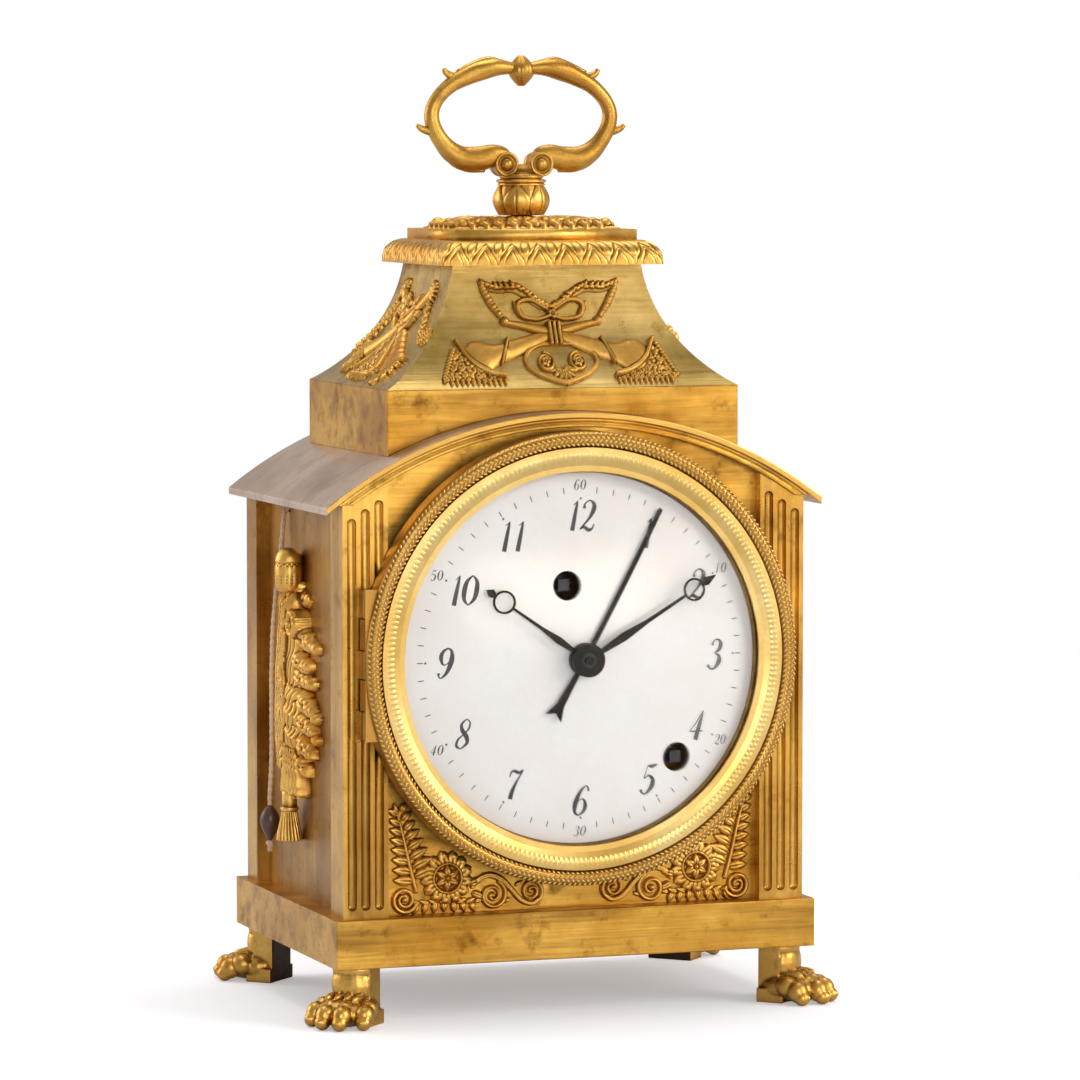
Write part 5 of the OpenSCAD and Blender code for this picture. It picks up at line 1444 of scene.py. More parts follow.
@dataclass
class Feet(Assembly):
    """Four lion's paws.

    Attributes:
        screw: Where a paw's screw stands, across and from front to back of the clock's middle.
        height: Height of a paw.
        heel: How far it reaches inward from the screw.
        fineness: Size of the cells that its lumps are melted in.
    """

    screw: Point = (51.14, 33.79)
    height: float = 12.9
    heel: float = 4.0
    fineness: float = 0.24
    CORNERS: ClassVar[dict[str, tuple[int, int]]] = {
        "front_left": (-1, -1),
        "front_right": (1, -1),
        "back_left": (-1, 1),
        "back_right": (1, 1),
    }

    def build(self) -> None:
        """Shape one paw and set four turned copies under the plinth."""
        model = self._paw()
        centres = np.array([p.center[:] for p in model.data.polygons]) / MM
        facing = np.array([p.normal[:] for p in model.data.polygons])
        bare = (centres[:, 0] < 0.3 - self.heel) & (facing[:, 0] < -0.5)
        bare |= (centres[:, 2] < 0.2) & (facing[:, 2] < -0.5)
        for name, (sx, sy) in self.CORNERS.items():
            obj = model.copy()
            obj.data = model.data.copy()
            obj.name = obj.data.name = "paw_" + name
            bpy.context.scene.collection.objects.link(obj)
            spot = Vector((sx * self.screw[0], MID_Y + sy * self.screw[1], 0.0)) * MM
            obj.data.transform(Matrix.Translation(spot) @ Matrix.Rotation(math.atan2(sy, sx), 4, "Z"))
            paint(obj, self.palette["bright_mount"])
            obj.data.materials.append(self.palette["bare_brown"])
            obj.data.polygons.foreach_set("material_index", bare.astype(np.int32))
            self.keep(obj, "case", None, ("foot_" + name,), "matt_gilt_mounts")
        bpy.data.objects.remove(model)

    def _paw(self) -> Object:
        """Model a paw whose X points outward from the screw.

        Returns:
            The paw.
        """
        parts = [
            block((-self.heel, -4.6, 1.2), (1.2, 4.6, self.height)), lump((1.0, 0, 8.8), (3.3, 4.8, 5.4)),
            lump((0.6, 0, 12.4), (3.4, 4.8, 3.0)), lump((1.5, 0, 3.4), (6.5, 6.2, 3.6)),
            lump((4.5, 0, 3.2), (5.5, 7.0, 3.2)), block((-self.heel, -5.6, 0.0), (2.5, 5.6, 3.2)),
        ]
        for x, y in ((6.8, -6.2), (10.0, -2.07), (10.0, 2.07), (6.8, 6.2)):
            lean = math.radians(2.0 * y)
            c, s = math.cos(lean), math.sin(lean)
            for along, z, size in (
                (-3.2, 4.0, (2.6, 2.15, 2.3)), (-0.4, 3.0, (2.4, 2.1, 2.5)),
                (0.9, 1.7, (1.9, 1.75, 1.75)), (1.9, 1.9, (1.25, 0.55, 0.8)),
            ):
                parts.append(lump((x + along * c, y + along * s, z), size))
        for y in (-3.4, -1.2, 1.2, 3.4):
            parts.append(lump((4.2, y, 6.3), (2.6, 0.75, 1.1)))
        paw = remeshed(join("paw", parts), self.fineness, 3)
        mesh = paw.data
        co = np.zeros(len(mesh.vertices) * 3)
        mesh.vertices.foreach_get("co", co)
        co = co.reshape(-1, 3)
        co[:, 2] = np.clip(co[:, 2], 0.0, self.height * MM)
        co[:, 0] = np.maximum(co[:, 0], -self.heel * MM)
        mesh.vertices.foreach_set("co", co.ravel())
        mesh.update()
        return mark_wear(paw, 2.0, 3)


@dataclass
class TopWorks(Assembly):
    """Cornice, leafy mound, bud and handle.

    Attributes:
        leaf_pitch: Distance between two leaves of the cornice.
        fillet: Height of the plain edge under them.
        mound: Half width and half depth of the leaves on the step.
        step: Height of the step.
        mound_pitch: Distance between the small leaves round it.
        bud_height: Height of the bud below its collar.
    """

    leaf_pitch: float = 6.4
    fillet: float = 1.0
    mound: Point = (20.5, 11.8)
    step: float = 2.2
    mound_pitch: float = 3.4
    bud_height: float = 7.0

    def build(self) -> None:
        """Make the pieces over the pagoda roof."""
        self.keep(self._cornice(), "case", "bright_mount", ("cornice",), "bright_gilt")
        self.keep(self._mound(), "case", "matt_mount", ("leaf_mound",), "bright_gilt")
        self.keep(self._bud(), "case", "bright_mount", ("bud_finial",), "bright_gilt")
        self.keep(self._handle(), "case", "handle_gilt", ("handle",), "bright_gilt")

    def _cornice(self) -> Object:
        """Make the cornice with overlapping leaves round its quarter round.

        Returns:
            The cornice.
        """
        low, high = box_mm("cornice")
        z0, height = low[2], high[2] - low[2]
        bulge = height - self.fillet
        profile = [(0.0, 0.0), (0.0, self.fillet / 2), (0.0, self.fillet)]
        for t in np.linspace(0.08, math.pi / 2, 26):
            profile.append((bulge * (1 - math.cos(t)), self.fillet + bulge * math.sin(t)))
        profile = np.array(profile)
        lift = np.linspace(0, 1, len(profile))
        parts = []
        halves = (high[0], high[1] - MID_Y)
        for turn in range(4):
            half, other = halves[turn % 2], halves[1 - turn % 2]
            count = int(round(2 * half / self.leaf_pitch))
            pitch = 2 * half / count
            columns = np.linspace(-1, 1, count * 30 + 1)
            u = columns[:, None] * (half - profile[:, 0])[None, :]
            s = np.repeat(lift[None, :], len(columns), 0)
            phase = np.abs((columns[:, None] * half / pitch + 0.5) % 1.0 - 0.5)
            leaf = np.exp(-(((phase - 0.5 * s / 0.66) / 0.032) ** 2))
            tongue = np.exp(-(((0.5 - phase - 0.26 * (1 - s / 0.42)) / 0.035) ** 2)) * (s < 0.42)
            dart = np.clip(1 - (phase / 0.13) ** 2 - ((s - 0.5) / 0.3) ** 2, 0, 1) ** 0.5
            groove = np.exp(-((np.hypot(phase / 0.17, (s - 0.5) / 0.36) - 1) / 0.16) ** 2)
            dent = 0.26 * dart - 0.34 * leaf - 0.24 * tongue - 0.14 * groove - 0.1
            dent = dent * np.clip(s * 8, 0, 1) * np.clip((1 - s) * 6, 0, 1)
            inset = profile[:, 0][None, :] - dent
            out = other - inset
            z = z0 + profile[:, 1][None, :] + 0 * u
            across, away = ((u, -out), (out, u), (-u, out), (-out, -u))[turn]
            p = np.stack([across, away, z], -1).reshape(-1, 3)
            n, m = u.shape
            index = np.arange(n * m).reshape(n, m)
            quads = [index[:-1, :-1], index[1:, :-1], index[1:, 1:], index[:-1, 1:]]
            faces = np.stack(quads, -1).reshape(-1, 4)
            p[:, 1] += MID_Y
            parts.append(mesh_object("cornice_side", p, faces))
        inner = bulge - 0.1
        for inset, foot, top in ((inner, z0 + 0.02, high[2]), (0.05, z0, z0 + 0.3)):
            near = (low[0] + inset, low[1] + inset, foot)
            far = (high[0] - inset, high[1] - inset, top)
            parts.append(block(near, far))
        return mark_wear(join("cornice_leaves", parts), 2.0, 1)

    def _mound(self) -> Object:
        """Make the step and the leaves that rise from it to the bud.

        Returns:
            The mound.
        """
        low, high = box_mm("leaf_mound")
        z0 = float(low[2])
        step = z0 + self.step
        wide, deep = self.mound
        relief = Relief((-wide, -deep), (wide, deep), 0.2)
        away = np.maximum(np.abs(relief.gx) / (wide - 0.5), np.abs(relief.gy) / (deep - 0.5))
        ground = np.clip(1 - away, 0, 1)
        relief.h = np.where(ground > 0, 0.3 + 2.4 * np.minimum(ground * 1.5, 1.0) ** 0.7, 0.0)
        for a, reach, width in (
            (27, 21.5, 8.5), (153, 21.5, 8.5), (207, 21.5, 8.5), (333, 21.5, 8.5), (0, 19.5, 6.5),
            (180, 19.5, 6.5), (90, 11.0, 8.0), (270, 11.0, 8.0), (62, 12.0, 6.0), (118, 12.0, 6.0),
            (242, 12.0, 6.0), (298, 12.0, 6.0),
        ):
            c, s = math.cos(math.radians(a)), math.sin(math.radians(a))
            relief.leaf((3.5 * c, 3.5 * s), a, reach - 3.5, width, 3.1, lobes=3, vein=0.25, floor=0.2)
            relief.ball(((reach - 2.2) * c, (reach - 2.2) * s), 1.9, 2.7)
        for side in (-1, 1):
            for x in np.arange(-15.3, 15.4, self.mound_pitch):
                relief.leaf((x, side * 7.2), 90 * side, 4.4, 3.7, 2.5, vein=0.3)
            for y in np.arange(-6.8, 6.9, self.mound_pitch):
                relief.leaf((side * 15.2, y), 90 - 90 * side, 4.9, 3.7, 2.4, vein=0.3)
        relief.ball((0.0, 0.0), 7.2, 3.3)

        def on_step(x: Array, y: Array, h: Array) -> Array:
            """Place a relief on the step."""
            return np.stack([x, MID_Y + y, step + h], -1)

        top = relief.build("mound_top", on_step, limit=3.4, sink=0.3)
        plate = block((low[0], low[1], z0), (high[0], high[1], step + 0.15))
        return mark_wear(join("leafy_mound", [top, plate]), 2.0, 1)

    def _bud(self) -> Object:
        """Make the bud of overlapping leaves with its collar.

        Returns:
            The bud.
        """
        foot = (0.0, MID_Y, box_mm("bud_finial")[0][2])
        t = np.linspace(0, 1, 40)
        profile = [(5.2 + 1.35 * math.sin(math.pi * v) - 0.25, self.bud_height * v) for v in t]

        def wave(a: Array, z: Array, r: Array) -> Array:
            """Raise six leaves with six more between them.

            Args:
                a: Angles round the bud.
                z: Heights over its foot.
                r: Radii; not used.

            Returns:
                What is added to the radii.
            """
            v = z / self.bud_height
            near = np.abs((a * 6 / (2 * np.pi) + 0.5) % 1.0 - 0.5)
            far = np.abs((a * 6 / (2 * np.pi)) % 1.0 - 0.5)
            width = 0.5 * np.sin(np.pi * np.clip(0.25 + 0.72 * v, 0, 1)) ** 0.8
            front = np.clip(1 - (near / np.maximum(width, 0.01)) ** 2, 0, 1) ** 0.5
            vein = np.exp(-((near / 0.03) ** 2)) * (v < 0.85)
            return 0.5 * front + 0.15 * np.clip(1 - far / 0.3, 0, 1) - 0.14 * vein - 0.2

        leaves = lathe("bud_leaves", profile, 192, foot, wave)
        rings = [
            (4.9, 6.6), (5.3, 6.8), (5.6, 7.0), (5.2, 7.2), (5.3, 7.4), (5.75, 7.6), (5.7, 7.95),
            (5.1, 8.2),
        ]
        collar = lathe("bud_collar", rings, 96, foot)
        return mark_wear(join("bud", [leaves, collar]), 2.0, 1)

    @staticmethod
    def _handle() -> Object:
        """Make the handle with leaves on its bars, two volutes and a ball.

        Returns:
            The handle.
        """
        right = [
            (0.8, 211.6, 1.2, 1.4), (3.3, 211.9, 1.5, 1.7), (6.7, 212.0, 2.1, 2.2),
            (10.1, 211.2, 2.35, 2.3), (13.5, 209.8, 2.1, 2.1), (17.0, 207.9, 1.75, 1.8),
            (20.1, 204.9, 1.6, 1.7), (21.5, 201.6, 1.65, 1.75), (20.9, 198.1, 1.75, 1.8),
            (18.4, 194.3, 2.0, 2.0), (14.6, 191.5, 2.7, 2.5), (10.4, 191.2, 2.85, 2.6),
            (7.0, 192.0, 2.6, 2.4), (5.0, 192.2, 2.0, 2.1), (3.6, 191.6, 1.5, 1.9),
        ]
        volute = [
            (2.85, 0.0), (2.85, 2.3), (2.7, 2.55), (2.35, 2.6), (2.15, 2.3), (1.5, 2.2), (1.45, 2.5),
            (1.1, 3.0), (0.6, 3.3), (0.05, 3.4),
        ]
        parts = []
        dense = smooth_path(right, 8)

        def veins(run: Array, a: Array) -> Array:
            """Cut veins into the leaves and fine scales all over.

            Args:
                run: Lengths along the bar.
                a: Angles round it.

            Returns:
                Factors on the bar's radii.
            """
            leafy = np.exp(-(((run - 9.5) / 6.0) ** 2)) + np.exp(-(((run - 44.0) / 9.0) ** 2))
            ripple = 0.5 + 0.5 * np.cos(4 * a + 0.55 * run)
            scales = np.cos(6 * a + 2.2 * run) * np.cos(6 * a - 2.2 * run)
            return 1.02 - 0.045 * np.clip(leafy, 0, 1) * ripple - 0.022 * scales * scales

        for s in (1, -1):
            rows = dense * np.array([s, 1, 1, 1])
            parts.append(sweep("bar", rows, MID_Y, 36, veins))
            for rows in (
                [
                    (15.4, 209.6, 1.1, 1.1), (17.2, 210.2, 0.9, 0.9), (18.2, 210.9, 0.7, 0.7),
                    (18.6, 211.7, 0.45, 0.5),
                ],
                [
                    (20.2, 197.2, 1.2, 1.1), (22.4, 197.6, 1.0, 0.9), (24.0, 198.1, 0.75, 0.7),
                    (25.0, 198.9, 0.5, 0.5),
                ],
                [
                    (4.0, 213.0, 0.5, 0.9), (8.0, 213.9, 0.6, 1.0), (12.0, 212.6, 0.55, 0.9),
                    (15.5, 210.9, 0.5, 0.7),
                ],
                [
                    (9.0, 188.6, 0.5, 0.9), (13.5, 188.9, 0.6, 1.0), (18.0, 191.4, 0.55, 0.9),
                    (20.8, 195.0, 0.5, 0.7),
                ],
            ):
                path = smooth_path(rows, 5) * np.array([s, 1, 1, 1])
                parts.append(sweep("leaf_edge", path, MID_Y, 14))
            for y in (-1, 1):
                disc = lathe("volute", volute, 48, (0.0, 0.0, 0.0))
                spot = Matrix.Translation(Vector((s * 4.2, MID_Y, 190.0)) * MM)
                spin = spot @ Matrix.Rotation(-y * math.pi / 2, 4, "X")
                disc.data.transform(spin)
                parts.append(disc)

        def gadroons(a: Array, z: Array, r: Array) -> Array:
            """Cut eight grooves down the ball."""
            return -0.16 * np.exp(-((np.abs((a * 8 / (2 * np.pi)) % 1.0 - 0.5) / 0.09) ** 2))

        globe = [(0.6 + 2.4 * math.sin(math.pi * v), 7.2 * v) for v in np.linspace(0.02, 0.98, 24)]
        root = [(4.6, 0.0), (5.0, 0.4), (4.9, 0.9), (4.0, 1.2), (3.4, 1.8), (3.0, 3.4)]
        parts.append(lathe("ball", globe, 72, (0.0, MID_Y, 207.65), gadroons))
        parts.append(lathe("handle_root", root, 64, (0.0, MID_Y, 186.6)))
        return mark_wear(join("handle_scrolls", parts), 2.2, 1)


@dataclass
class Mounts(Assembly):
    """The cast ornaments on the plate, the roof and the panels.

    Attributes:
        spandrel: Greatest height of a corner ornament.
        roof: Greatest height of a roof trophy.
        pendant: Greatest height of a side panel's trophy.
        pendant_y: How far its line hangs behind the clock's middle.
        pendant_axis: Distance of its bud and tassel from the panel.
    """

    spandrel: float = 1.9
    roof: float = 1.6
    pendant: float = 5.2
    pendant_y: float = 3.2
    pendant_axis: float = 3.0

    def build(self) -> None:
        """Make and place the reliefs."""
        corner = self._spandrel()
        for side, name in ((Side.LEFT, "left"), (Side.RIGHT, "right")):
            flip = -side.value

            def place(x: Array, z: Array, h: Array, flip: int = flip) -> Array:
                """Place a corner ornament, which is drawn for the left."""
                return on_front(x * flip, z + PLINTH_TOP, h)

            left = side is Side.LEFT
            self._put(corner, name + "_spandrel", place, self.spandrel, not left)
            self._put(self._trophy_side(), name + "_trophy", on_roof_side(side), self.roof, left)
            ends = self._round_ends(side)
            self._put(self._pendant(), name + "_pendant", on_panel(side), self.pendant, left, ends)
        self._put(self._trophy_front(), "front_trophy", on_roof_front, self.roof, False)

    def _put(
        self, relief: Relief, node: str, place: Place, limit: float, flipped: bool,
        more: Sequence[Object] = (),
    ) -> None:
        """Make a relief's mesh and let it stand for its node.

        Args:
            relief: The height map.
            node: The CAD node.
            place: Where it goes.
            limit: Greatest height.
            flipped: Whether the mesh is inside out after placing.
            more: Meshes that become part of it.
        """
        name = node + "_relief"
        obj = relief.build(name, place, limit=limit)
        if flipped:
            obj.data.flip_normals()
        if more:
            obj.name = "relief_part"
            obj = join(name, [obj, *more])
        mark_wear(obj, 2.2, 2)
        finish = "pale_mount" if more else "dim_mount" if node == "front_trophy" else "matt_mount"
        self.keep(obj, "case", finish, (node,), "matt_gilt_mounts")

    @staticmethod
    def _spandrel() -> Relief:
        """Draw the left corner ornament from the plinth's top.

        Returns:
            The height map.
        """
        r = Relief((-44.1, 0.0), (-6.5, 25.4), 0.13)
        r.stroke(spiral((-39.6, 3.4), 3.0, 0.5, -20, -760, 0.62, 0.4), 1.0)
        r.ball((-39.6, 3.4), 0.75, 1.2)
        r.curve([
            (-36.8, 5.2, 0.6), (-37.6, 8.0, 0.6), (-38.6, 12.0, 0.55), (-39.6, 16.5, 0.5),
            (-40.6, 20.5, 0.4), (-41.6, 23.6, 0.3),
        ], 0.9, 5)
        for k in range(8):
            t = k / 7
            x = -37.6 - 3.4 * t
            z = 7.4 + 15.0 * t
            r.leaf((x, z), 168 - 26 * t, 4.6 - 1.9 * t, 2.7 - 0.7 * t, 1.15, bend=0.5)
            r.leaf((x + 0.4, z + 0.9), 28 + 24 * t, 5.6 - 3.0 * t, 2.8 - 0.9 * t, 1.15, bend=-0.5)
        r.leaf((-41.4, 22.8), 104, 2.4, 1.4, 1.1)
        flower = (-29.6, 7.9)
        for k in range(13):
            a = 15 + 360 * k / 13
            c, s = math.cos(math.radians(a)), math.sin(math.radians(a))
            r.leaf((flower[0] + 2.6 * c, flower[1] + 2.6 * s), a, 3.6, 3.4, 1.2, bend=0.6, vein=0.35)
            r.ball((flower[0] + 5.0 * c, flower[1] + 5.0 * s), 1.05, 1.15)
        r.ball(flower, 3.6, 0.5)
        r.stroke(spiral(flower, 3.3, 3.3, 0, 360, 0.36, 0.36), 1.35)
        r.rosette(flower, 2.9, 6, 1.5, 30)
        for k in range(7):
            r.leaf((-36.6 + 2.1 * k, 2.6 - 0.12 * abs(k - 3)), -112 + 7.5 * k, 2.5, 1.7, 0.95)
            r.leaf((-35.8 + 2.1 * k, 2.2), 20 if k > 3 else 160, 2.6, 1.3, 0.8)
        r.leaf((-24.6, 6.2), 20, 3.6, 2.4, 1.3, lobes=2)
        r.leaf((-23.8, 4.4), -25, 3.4, 2.0, 1.1)
        r.curve([
            (-23.6, 5.6, 0.5), (-22.2, 7.3, 0.65), (-19.6, 8.1, 0.75), (-16.8, 7.0, 0.75),
            (-14.4, 4.6, 0.7), (-12.2, 2.2, 0.65), (-9.6, 1.3, 0.6), (-7.6, 2.4, 0.55),
        ], 1.1, groove=0.25)
        r.stroke(spiral((-9.7, 4.1), 2.7, 0.5, -50, 560, 0.55, 0.36), 1.1)
        r.ball((-9.7, 4.1), 0.65, 1.2)
        r.stroke(spiral((-18.9, 3.6), 3.3, 0.5, 60, -560, 0.6, 0.4), 1.1)
        r.ball((-18.9, 3.6), 0.7, 1.3)
        r.leaf((-14.6, 2.6), 200, 2.4, 1.1, 0.9)
        r.leaf((-13.6, 5.4), 30, 2.2, 1.0, 0.9)
        return r

    @staticmethod
    def _trophy_front() -> Relief:
        """Draw the crossed horns with their straps, garland and flowers.

        Returns:
            The height map.
        """
        z = ATTIC_TOP
        r = Relief((-28.2, z + 0.5), (29.2, z + 25.4), 0.14)
        for s in (1, -1):
            r.curve([
                (-10.6 * s, z + 14.2, 0.75), (-6.5 * s, z + 13.4, 0.95), (0.2, z + 11.8, 1.35),
                (6.5 * s, z + 9.6, 1.75), (12.0 * s, z + 7.9, 2.1),
            ], 1.25 if s > 0 else 1.1)
            r.curve([
                (12.2 * s, z + 7.8, 2.0), (14.4 * s, z + 7.3, 2.3), (16.6 * s, z + 6.9, 3.0),
                (18.4 * s, z + 6.6, 3.9),
            ], 1.3)
            r.stroke([(11.2 * s, z + 10.6, 0.35), (13.4 * s, z + 5.2, 0.35)], 0.5, base=1.0)
            r.curve([
                (13.2 * s, z + 2.6, 0.45), (17.2 * s, z + 3.6, 0.5), (21.0 * s, z + 6.2, 0.5),
                (23.4 * s, z + 10.4, 0.45),
            ], 0.5, base=0.9)
            r.ball((-11.1 * s, z + 14.6), 1.15, 1.3)
            r.curve([
                (-11.6 * s, z + 15.4, 0.7), (-13.8 * s, z + 18.4, 0.95), (-15.3 * s, z + 21.2, 0.95),
                (-16.2 * s, z + 23.4, 0.7),
            ], 1.0, ribs=0.9)
            garland = smooth_path([
                (-15.6 * s, z + 22.6, 0.8), (-12.4 * s, z + 22.0, 1.1), (-8.4 * s, z + 22.2, 1.3),
                (-5.4 * s, z + 20.6, 1.2), (-2.8 * s, z + 18.6, 1.1), (-0.6 * s, z + 17.6, 1.0),
            ], 6)
            r.stroke(garland, 0.6)
            for k, (x, y, _) in enumerate(garland[::2]):
                for j in (-1, 1):
                    r.leaf((x, y), 90 + j * (50 + 8 * (k % 3)) - 24 * s, 1.9, 1.1, 1.25)
            r.curve([
                (-1.0 * s, z + 17.4, 0.5), (-4.6 * s, z + 19.4, 0.6), (-7.6 * s, z + 18.6, 0.6),
                (-7.0 * s, z + 15.8, 0.6), (-3.4 * s, z + 15.0, 0.55), (-0.8 * s, z + 15.6, 0.5),
            ], 1.1, groove=0.2)
            r.leaf((6.4 * s, z + 15.2), 52 if s > 0 else 128, 4.6, 1.8, 0.9, bend=0.6 * s)
            r.curve([
                (0.8, z + 9.4, 0.45), (4.2 * s + 0.8, z + 9.3, 0.5), (7.6 * s + 0.8, z + 7.6, 0.55),
                (8.4 * s + 0.8, z + 5.2, 0.55), (6.0 * s + 0.8, z + 3.0, 0.5),
                (3.0 * s + 0.8, z + 1.8, 0.5), (0.8, z + 0.9, 0.45),
            ], 0.95, groove=0.2)
            eye = (3.9 * s + 0.9, z + 5.5)
            r.stroke(spiral(eye, 2.1, 1.2, 90, 90 + 420 * s, 0.5, 0.4), 0.95)
            r.rosette(eye, 1.4, 5, 1.1)
            corner = 0.9 if s < 0 else 0.0
            r.cluster([(12.8 * s, z + 1.6), (27.4 * s, z + 1.9), (23.2 * s, z + 9.6)], 0.62, 1.1, 11 + s, 170)
            for k in range(11):
                t = k / 10
                r.leaf(((13.6 + 12.6 * t) * s, z + 2.0), -90 + 8 * s * (t - 0.5), 1.4, 1.0, 0.9)
                edge = ((27.2 - 3.6 * t) * s, z + 2.6 + 6.8 * t - corner)
                r.leaf(edge, 0 if s > 0 else 180, 1.5, 1.0, 0.85)
        for x in (-0.9, 0.2, 1.3):
            r.stroke([(x, z + 9.4, 0.5), (x, z + 14.0, 0.5)], 0.75, base=0.95)
        r.rosette((0.3, z + 16.2), 1.5, 5, 1.3)
        for k in range(7):
            r.leaf((0.8, z + 4.2), -90 + 26 * (k - 3), 3.6, 1.5, 1.0, lobes=2)
        return r

    @staticmethod
    def _trophy_side() -> Relief:
        """Draw the quiver, spray and ribbons of a roof side, as y and height.

        Returns:
            The height map.
        """
        z = ATTIC_TOP
        r = Relief((-23.5, z + 0.5), (23.5, z + 24.2), 0.15)
        r.curve([
            (10.5, z + 21.0, 1.4), (6.0, z + 17.6, 1.5), (1.0, z + 13.6, 1.6), (-4.4, z + 9.6, 1.8),
            (-9.6, z + 6.4, 2.2), (-13.4, z + 4.4, 2.7),
        ], 1.3, ribs=2.6)
        r.curve([
            (-9.4, z + 21.2, 1.3), (-5.0, z + 18.0, 1.2), (1.4, z + 13.4, 1.2), (8.0, z + 9.6, 1.4),
            (14.0, z + 7.2, 1.9),
        ], 1.1)
        for k in range(6):
            r.leaf((13.2, z + 7.4), -44 + 22 * (k - 2), 6.4 - 0.5 * abs(k - 2), 2.0, 1.3, lobes=3)
            r.leaf((10.0, z + 20.4), 30 + 26 * (k - 2), 3.6, 1.5, 1.2, lobes=2)
            r.leaf((-9.0, z + 20.6), 140 + 24 * (k - 2), 3.2, 1.4, 1.2, lobes=2)
            r.leaf((-13.0, z + 4.6), 196 + 20 * (k - 2), 5.2, 1.9, 1.2, lobes=3)
        garland = smooth_path([
            (-10.6, z + 17.4, 0.7), (-13.6, z + 12.8, 1.0), (-17.6, z + 10.6, 0.9),
            (-20.4, z + 11.6, 0.7),
        ], 6)
        r.stroke(garland, 0.7)
        for x, y, _ in garland[::2]:
            r.leaf((x, y), 70, 1.9, 1.1, 1.1)
            r.leaf((x, y), 230, 1.9, 1.1, 1.1)
        other = smooth_path([
            (11.4, z + 17.6, 0.7), (14.6, z + 14.6, 0.9), (18.0, z + 10.6, 0.8), (21.0, z + 7.2, 0.6),
        ], 6)
        r.stroke(other, 0.7)
        for x, y, _ in other[::2]:
            r.leaf((x, y), 40, 2.0, 1.1, 1.1)
            r.leaf((x, y), 250, 2.0, 1.1, 1.1)
        for s in (-1, 1):
            r.curve([
                (2.0, z + 14.4, 0.45), (2.0 + 4.4 * s, z + 17.4, 0.6), (2.0 + 6.2 * s, z + 14.8, 0.6),
                (2.0 + 3.0 * s, z + 12.2, 0.55), (2.0, z + 13.2, 0.45),
            ], 1.3, groove=0.2)
            r.curve([
                (1.4, z + 12.6, 0.5), (1.4 + 2.6 * s, z + 8.4, 0.6), (1.4 + 4.8 * s, z + 5.6, 0.6),
                (1.4 + 7.6 * s, z + 3.4, 0.5),
            ], 1.1, groove=0.2)
        r.rosette((1.8, z + 13.8), 2.0, 6, 1.45)
        for x, y, angle in (
            (3.6, 17.0, 60), (5.6, 15.6, 20), (-0.6, 16.6, 120), (-2.4, 15.0, 160), (4.6, 11.6, -30),
            (-1.6, 11.0, 215), (2.6, 10.2, -70),
        ):
            r.leaf((x, z + y), angle, 4.4, 2.4, 1.25, lobes=2)
        r.cluster([(-5.0, z + 2.2), (6.6, z + 2.0), (1.0, z + 8.6)], 0.75, 1.3, 31, 90)
        for k in range(9):
            r.leaf((-3.6 + 1.2 * k, z + 2.6), -90 + 9 * (k - 4), 1.7, 1.1, 1.0)
        return r

    def _pendant(self) -> Relief:
        """Draw the hanging trophy of a side panel, as y and height.

        Returns:
            The height map.
        """
        r = Relief((-13.4, 46.4), (11.9, 95.6), 0.16)
        c = self.pendant_y
        core = [
            (c, 94.0, 3.0), (c - 0.4, 86.0, 5.0), (c, 79.0, 5.4), (c, 71.0, 5.2), (c + 0.3, 62.0, 6.0),
            (c, 53.0, 5.4), (c, 48.4, 4.6),
        ]
        r.curve(core, 3.4)
        fold = [
            (c + 2.2, 90.0, 1.4), (c + 4.0, 81.0, 2.6), (c + 5.2, 71.0, 3.0), (c + 5.4, 61.0, 3.2),
            (c + 4.4, 54.0, 2.0),
        ]
        r.curve(fold, 2.2, base=2.4, groove=0.3)
        tail = [(c + 0.8, 84.0, 1.0), (c + 2.2, 76.0, 1.3), (c + 1.0, 68.0, 1.4), (c + 1.8, 60.0, 1.4)]
        r.curve(tail, 1.6, base=3.4, groove=0.4)
        for z, angle, length, width, height in (
            (91.5, 178, 8.0, 4.6, 1.6), (84.6, 196, 12.6, 6.4, 3.2), (79.4, 204, 9.6, 5.4, 3.6),
            (75.6, 196, 11.4, 5.6, 3.4), (72.0, 20, 6.6, 4.2, 3.4), (65.0, -14, 7.0, 5.0, 3.4),
        ):
            r.leaf((c - 1.2 if angle > 90 else c + 1.4, z), angle, length, width, height, lobes=2, vein=0.25)
        r.leaf((c + 1.4, 74.6), 263, 22.6, 17.0, 5.2, lobes=4, vein=0.3)
        for z, angle, length, width in (
            (70.4, 204, 10.4, 6.4), (65.6, 200, 10.8, 6.4), (60.6, 206, 9.6, 6.0), (56.4, 222, 6.8, 4.8),
        ):
            r.leaf((c - 4.6, z), angle, length, width, 3.7, lobes=2, vein=0.25)
        for y, z, radius, height in (
            (-11.0, 81.4, 1.7, 2.2), (-6.2, 77.0, 1.6, 2.6), (-8.6, 73.2, 1.7, 2.4),
            (-11.4, 65.6, 1.4, 2.4), (-11.6, 60.8, 1.4, 2.4),
        ):
            r.ball((y, z), radius, height)
        r.leaf((c - 1.8, 93.6), 258, 7.0, 4.6, 4.9, vein=0.5)
        r.leaf((c + 2.2, 93.6), 284, 7.6, 4.4, 4.9, vein=0.5)
        r.stroke(spiral((c - 4.0, 86.2), 2.7, 2.2, 0, 360, 0.95, 0.95), 1.8, base=2.6)
        r.leaf((c + 5.0, 60.5), 264, 7.0, 3.4, 3.6, vein=0.4)
        for k in range(8):
            out = k - 3.5
            end = (c + 1.4 * out + 0.3 * out, 47.6 + 0.5 * (k % 2), 0.9)
            drop = [(c + 0.9 * out, 57.6, 0.75), (c + 1.25 * out, 52.4, 0.9), end]
            r.curve(drop, 4.6 - 0.3 * abs(out), 5)
        folds = np.cos(2 * np.pi * (r.gx + 0.4 * r.gy + 0.5 * np.sin(0.8 * r.gy)) / 1.4)
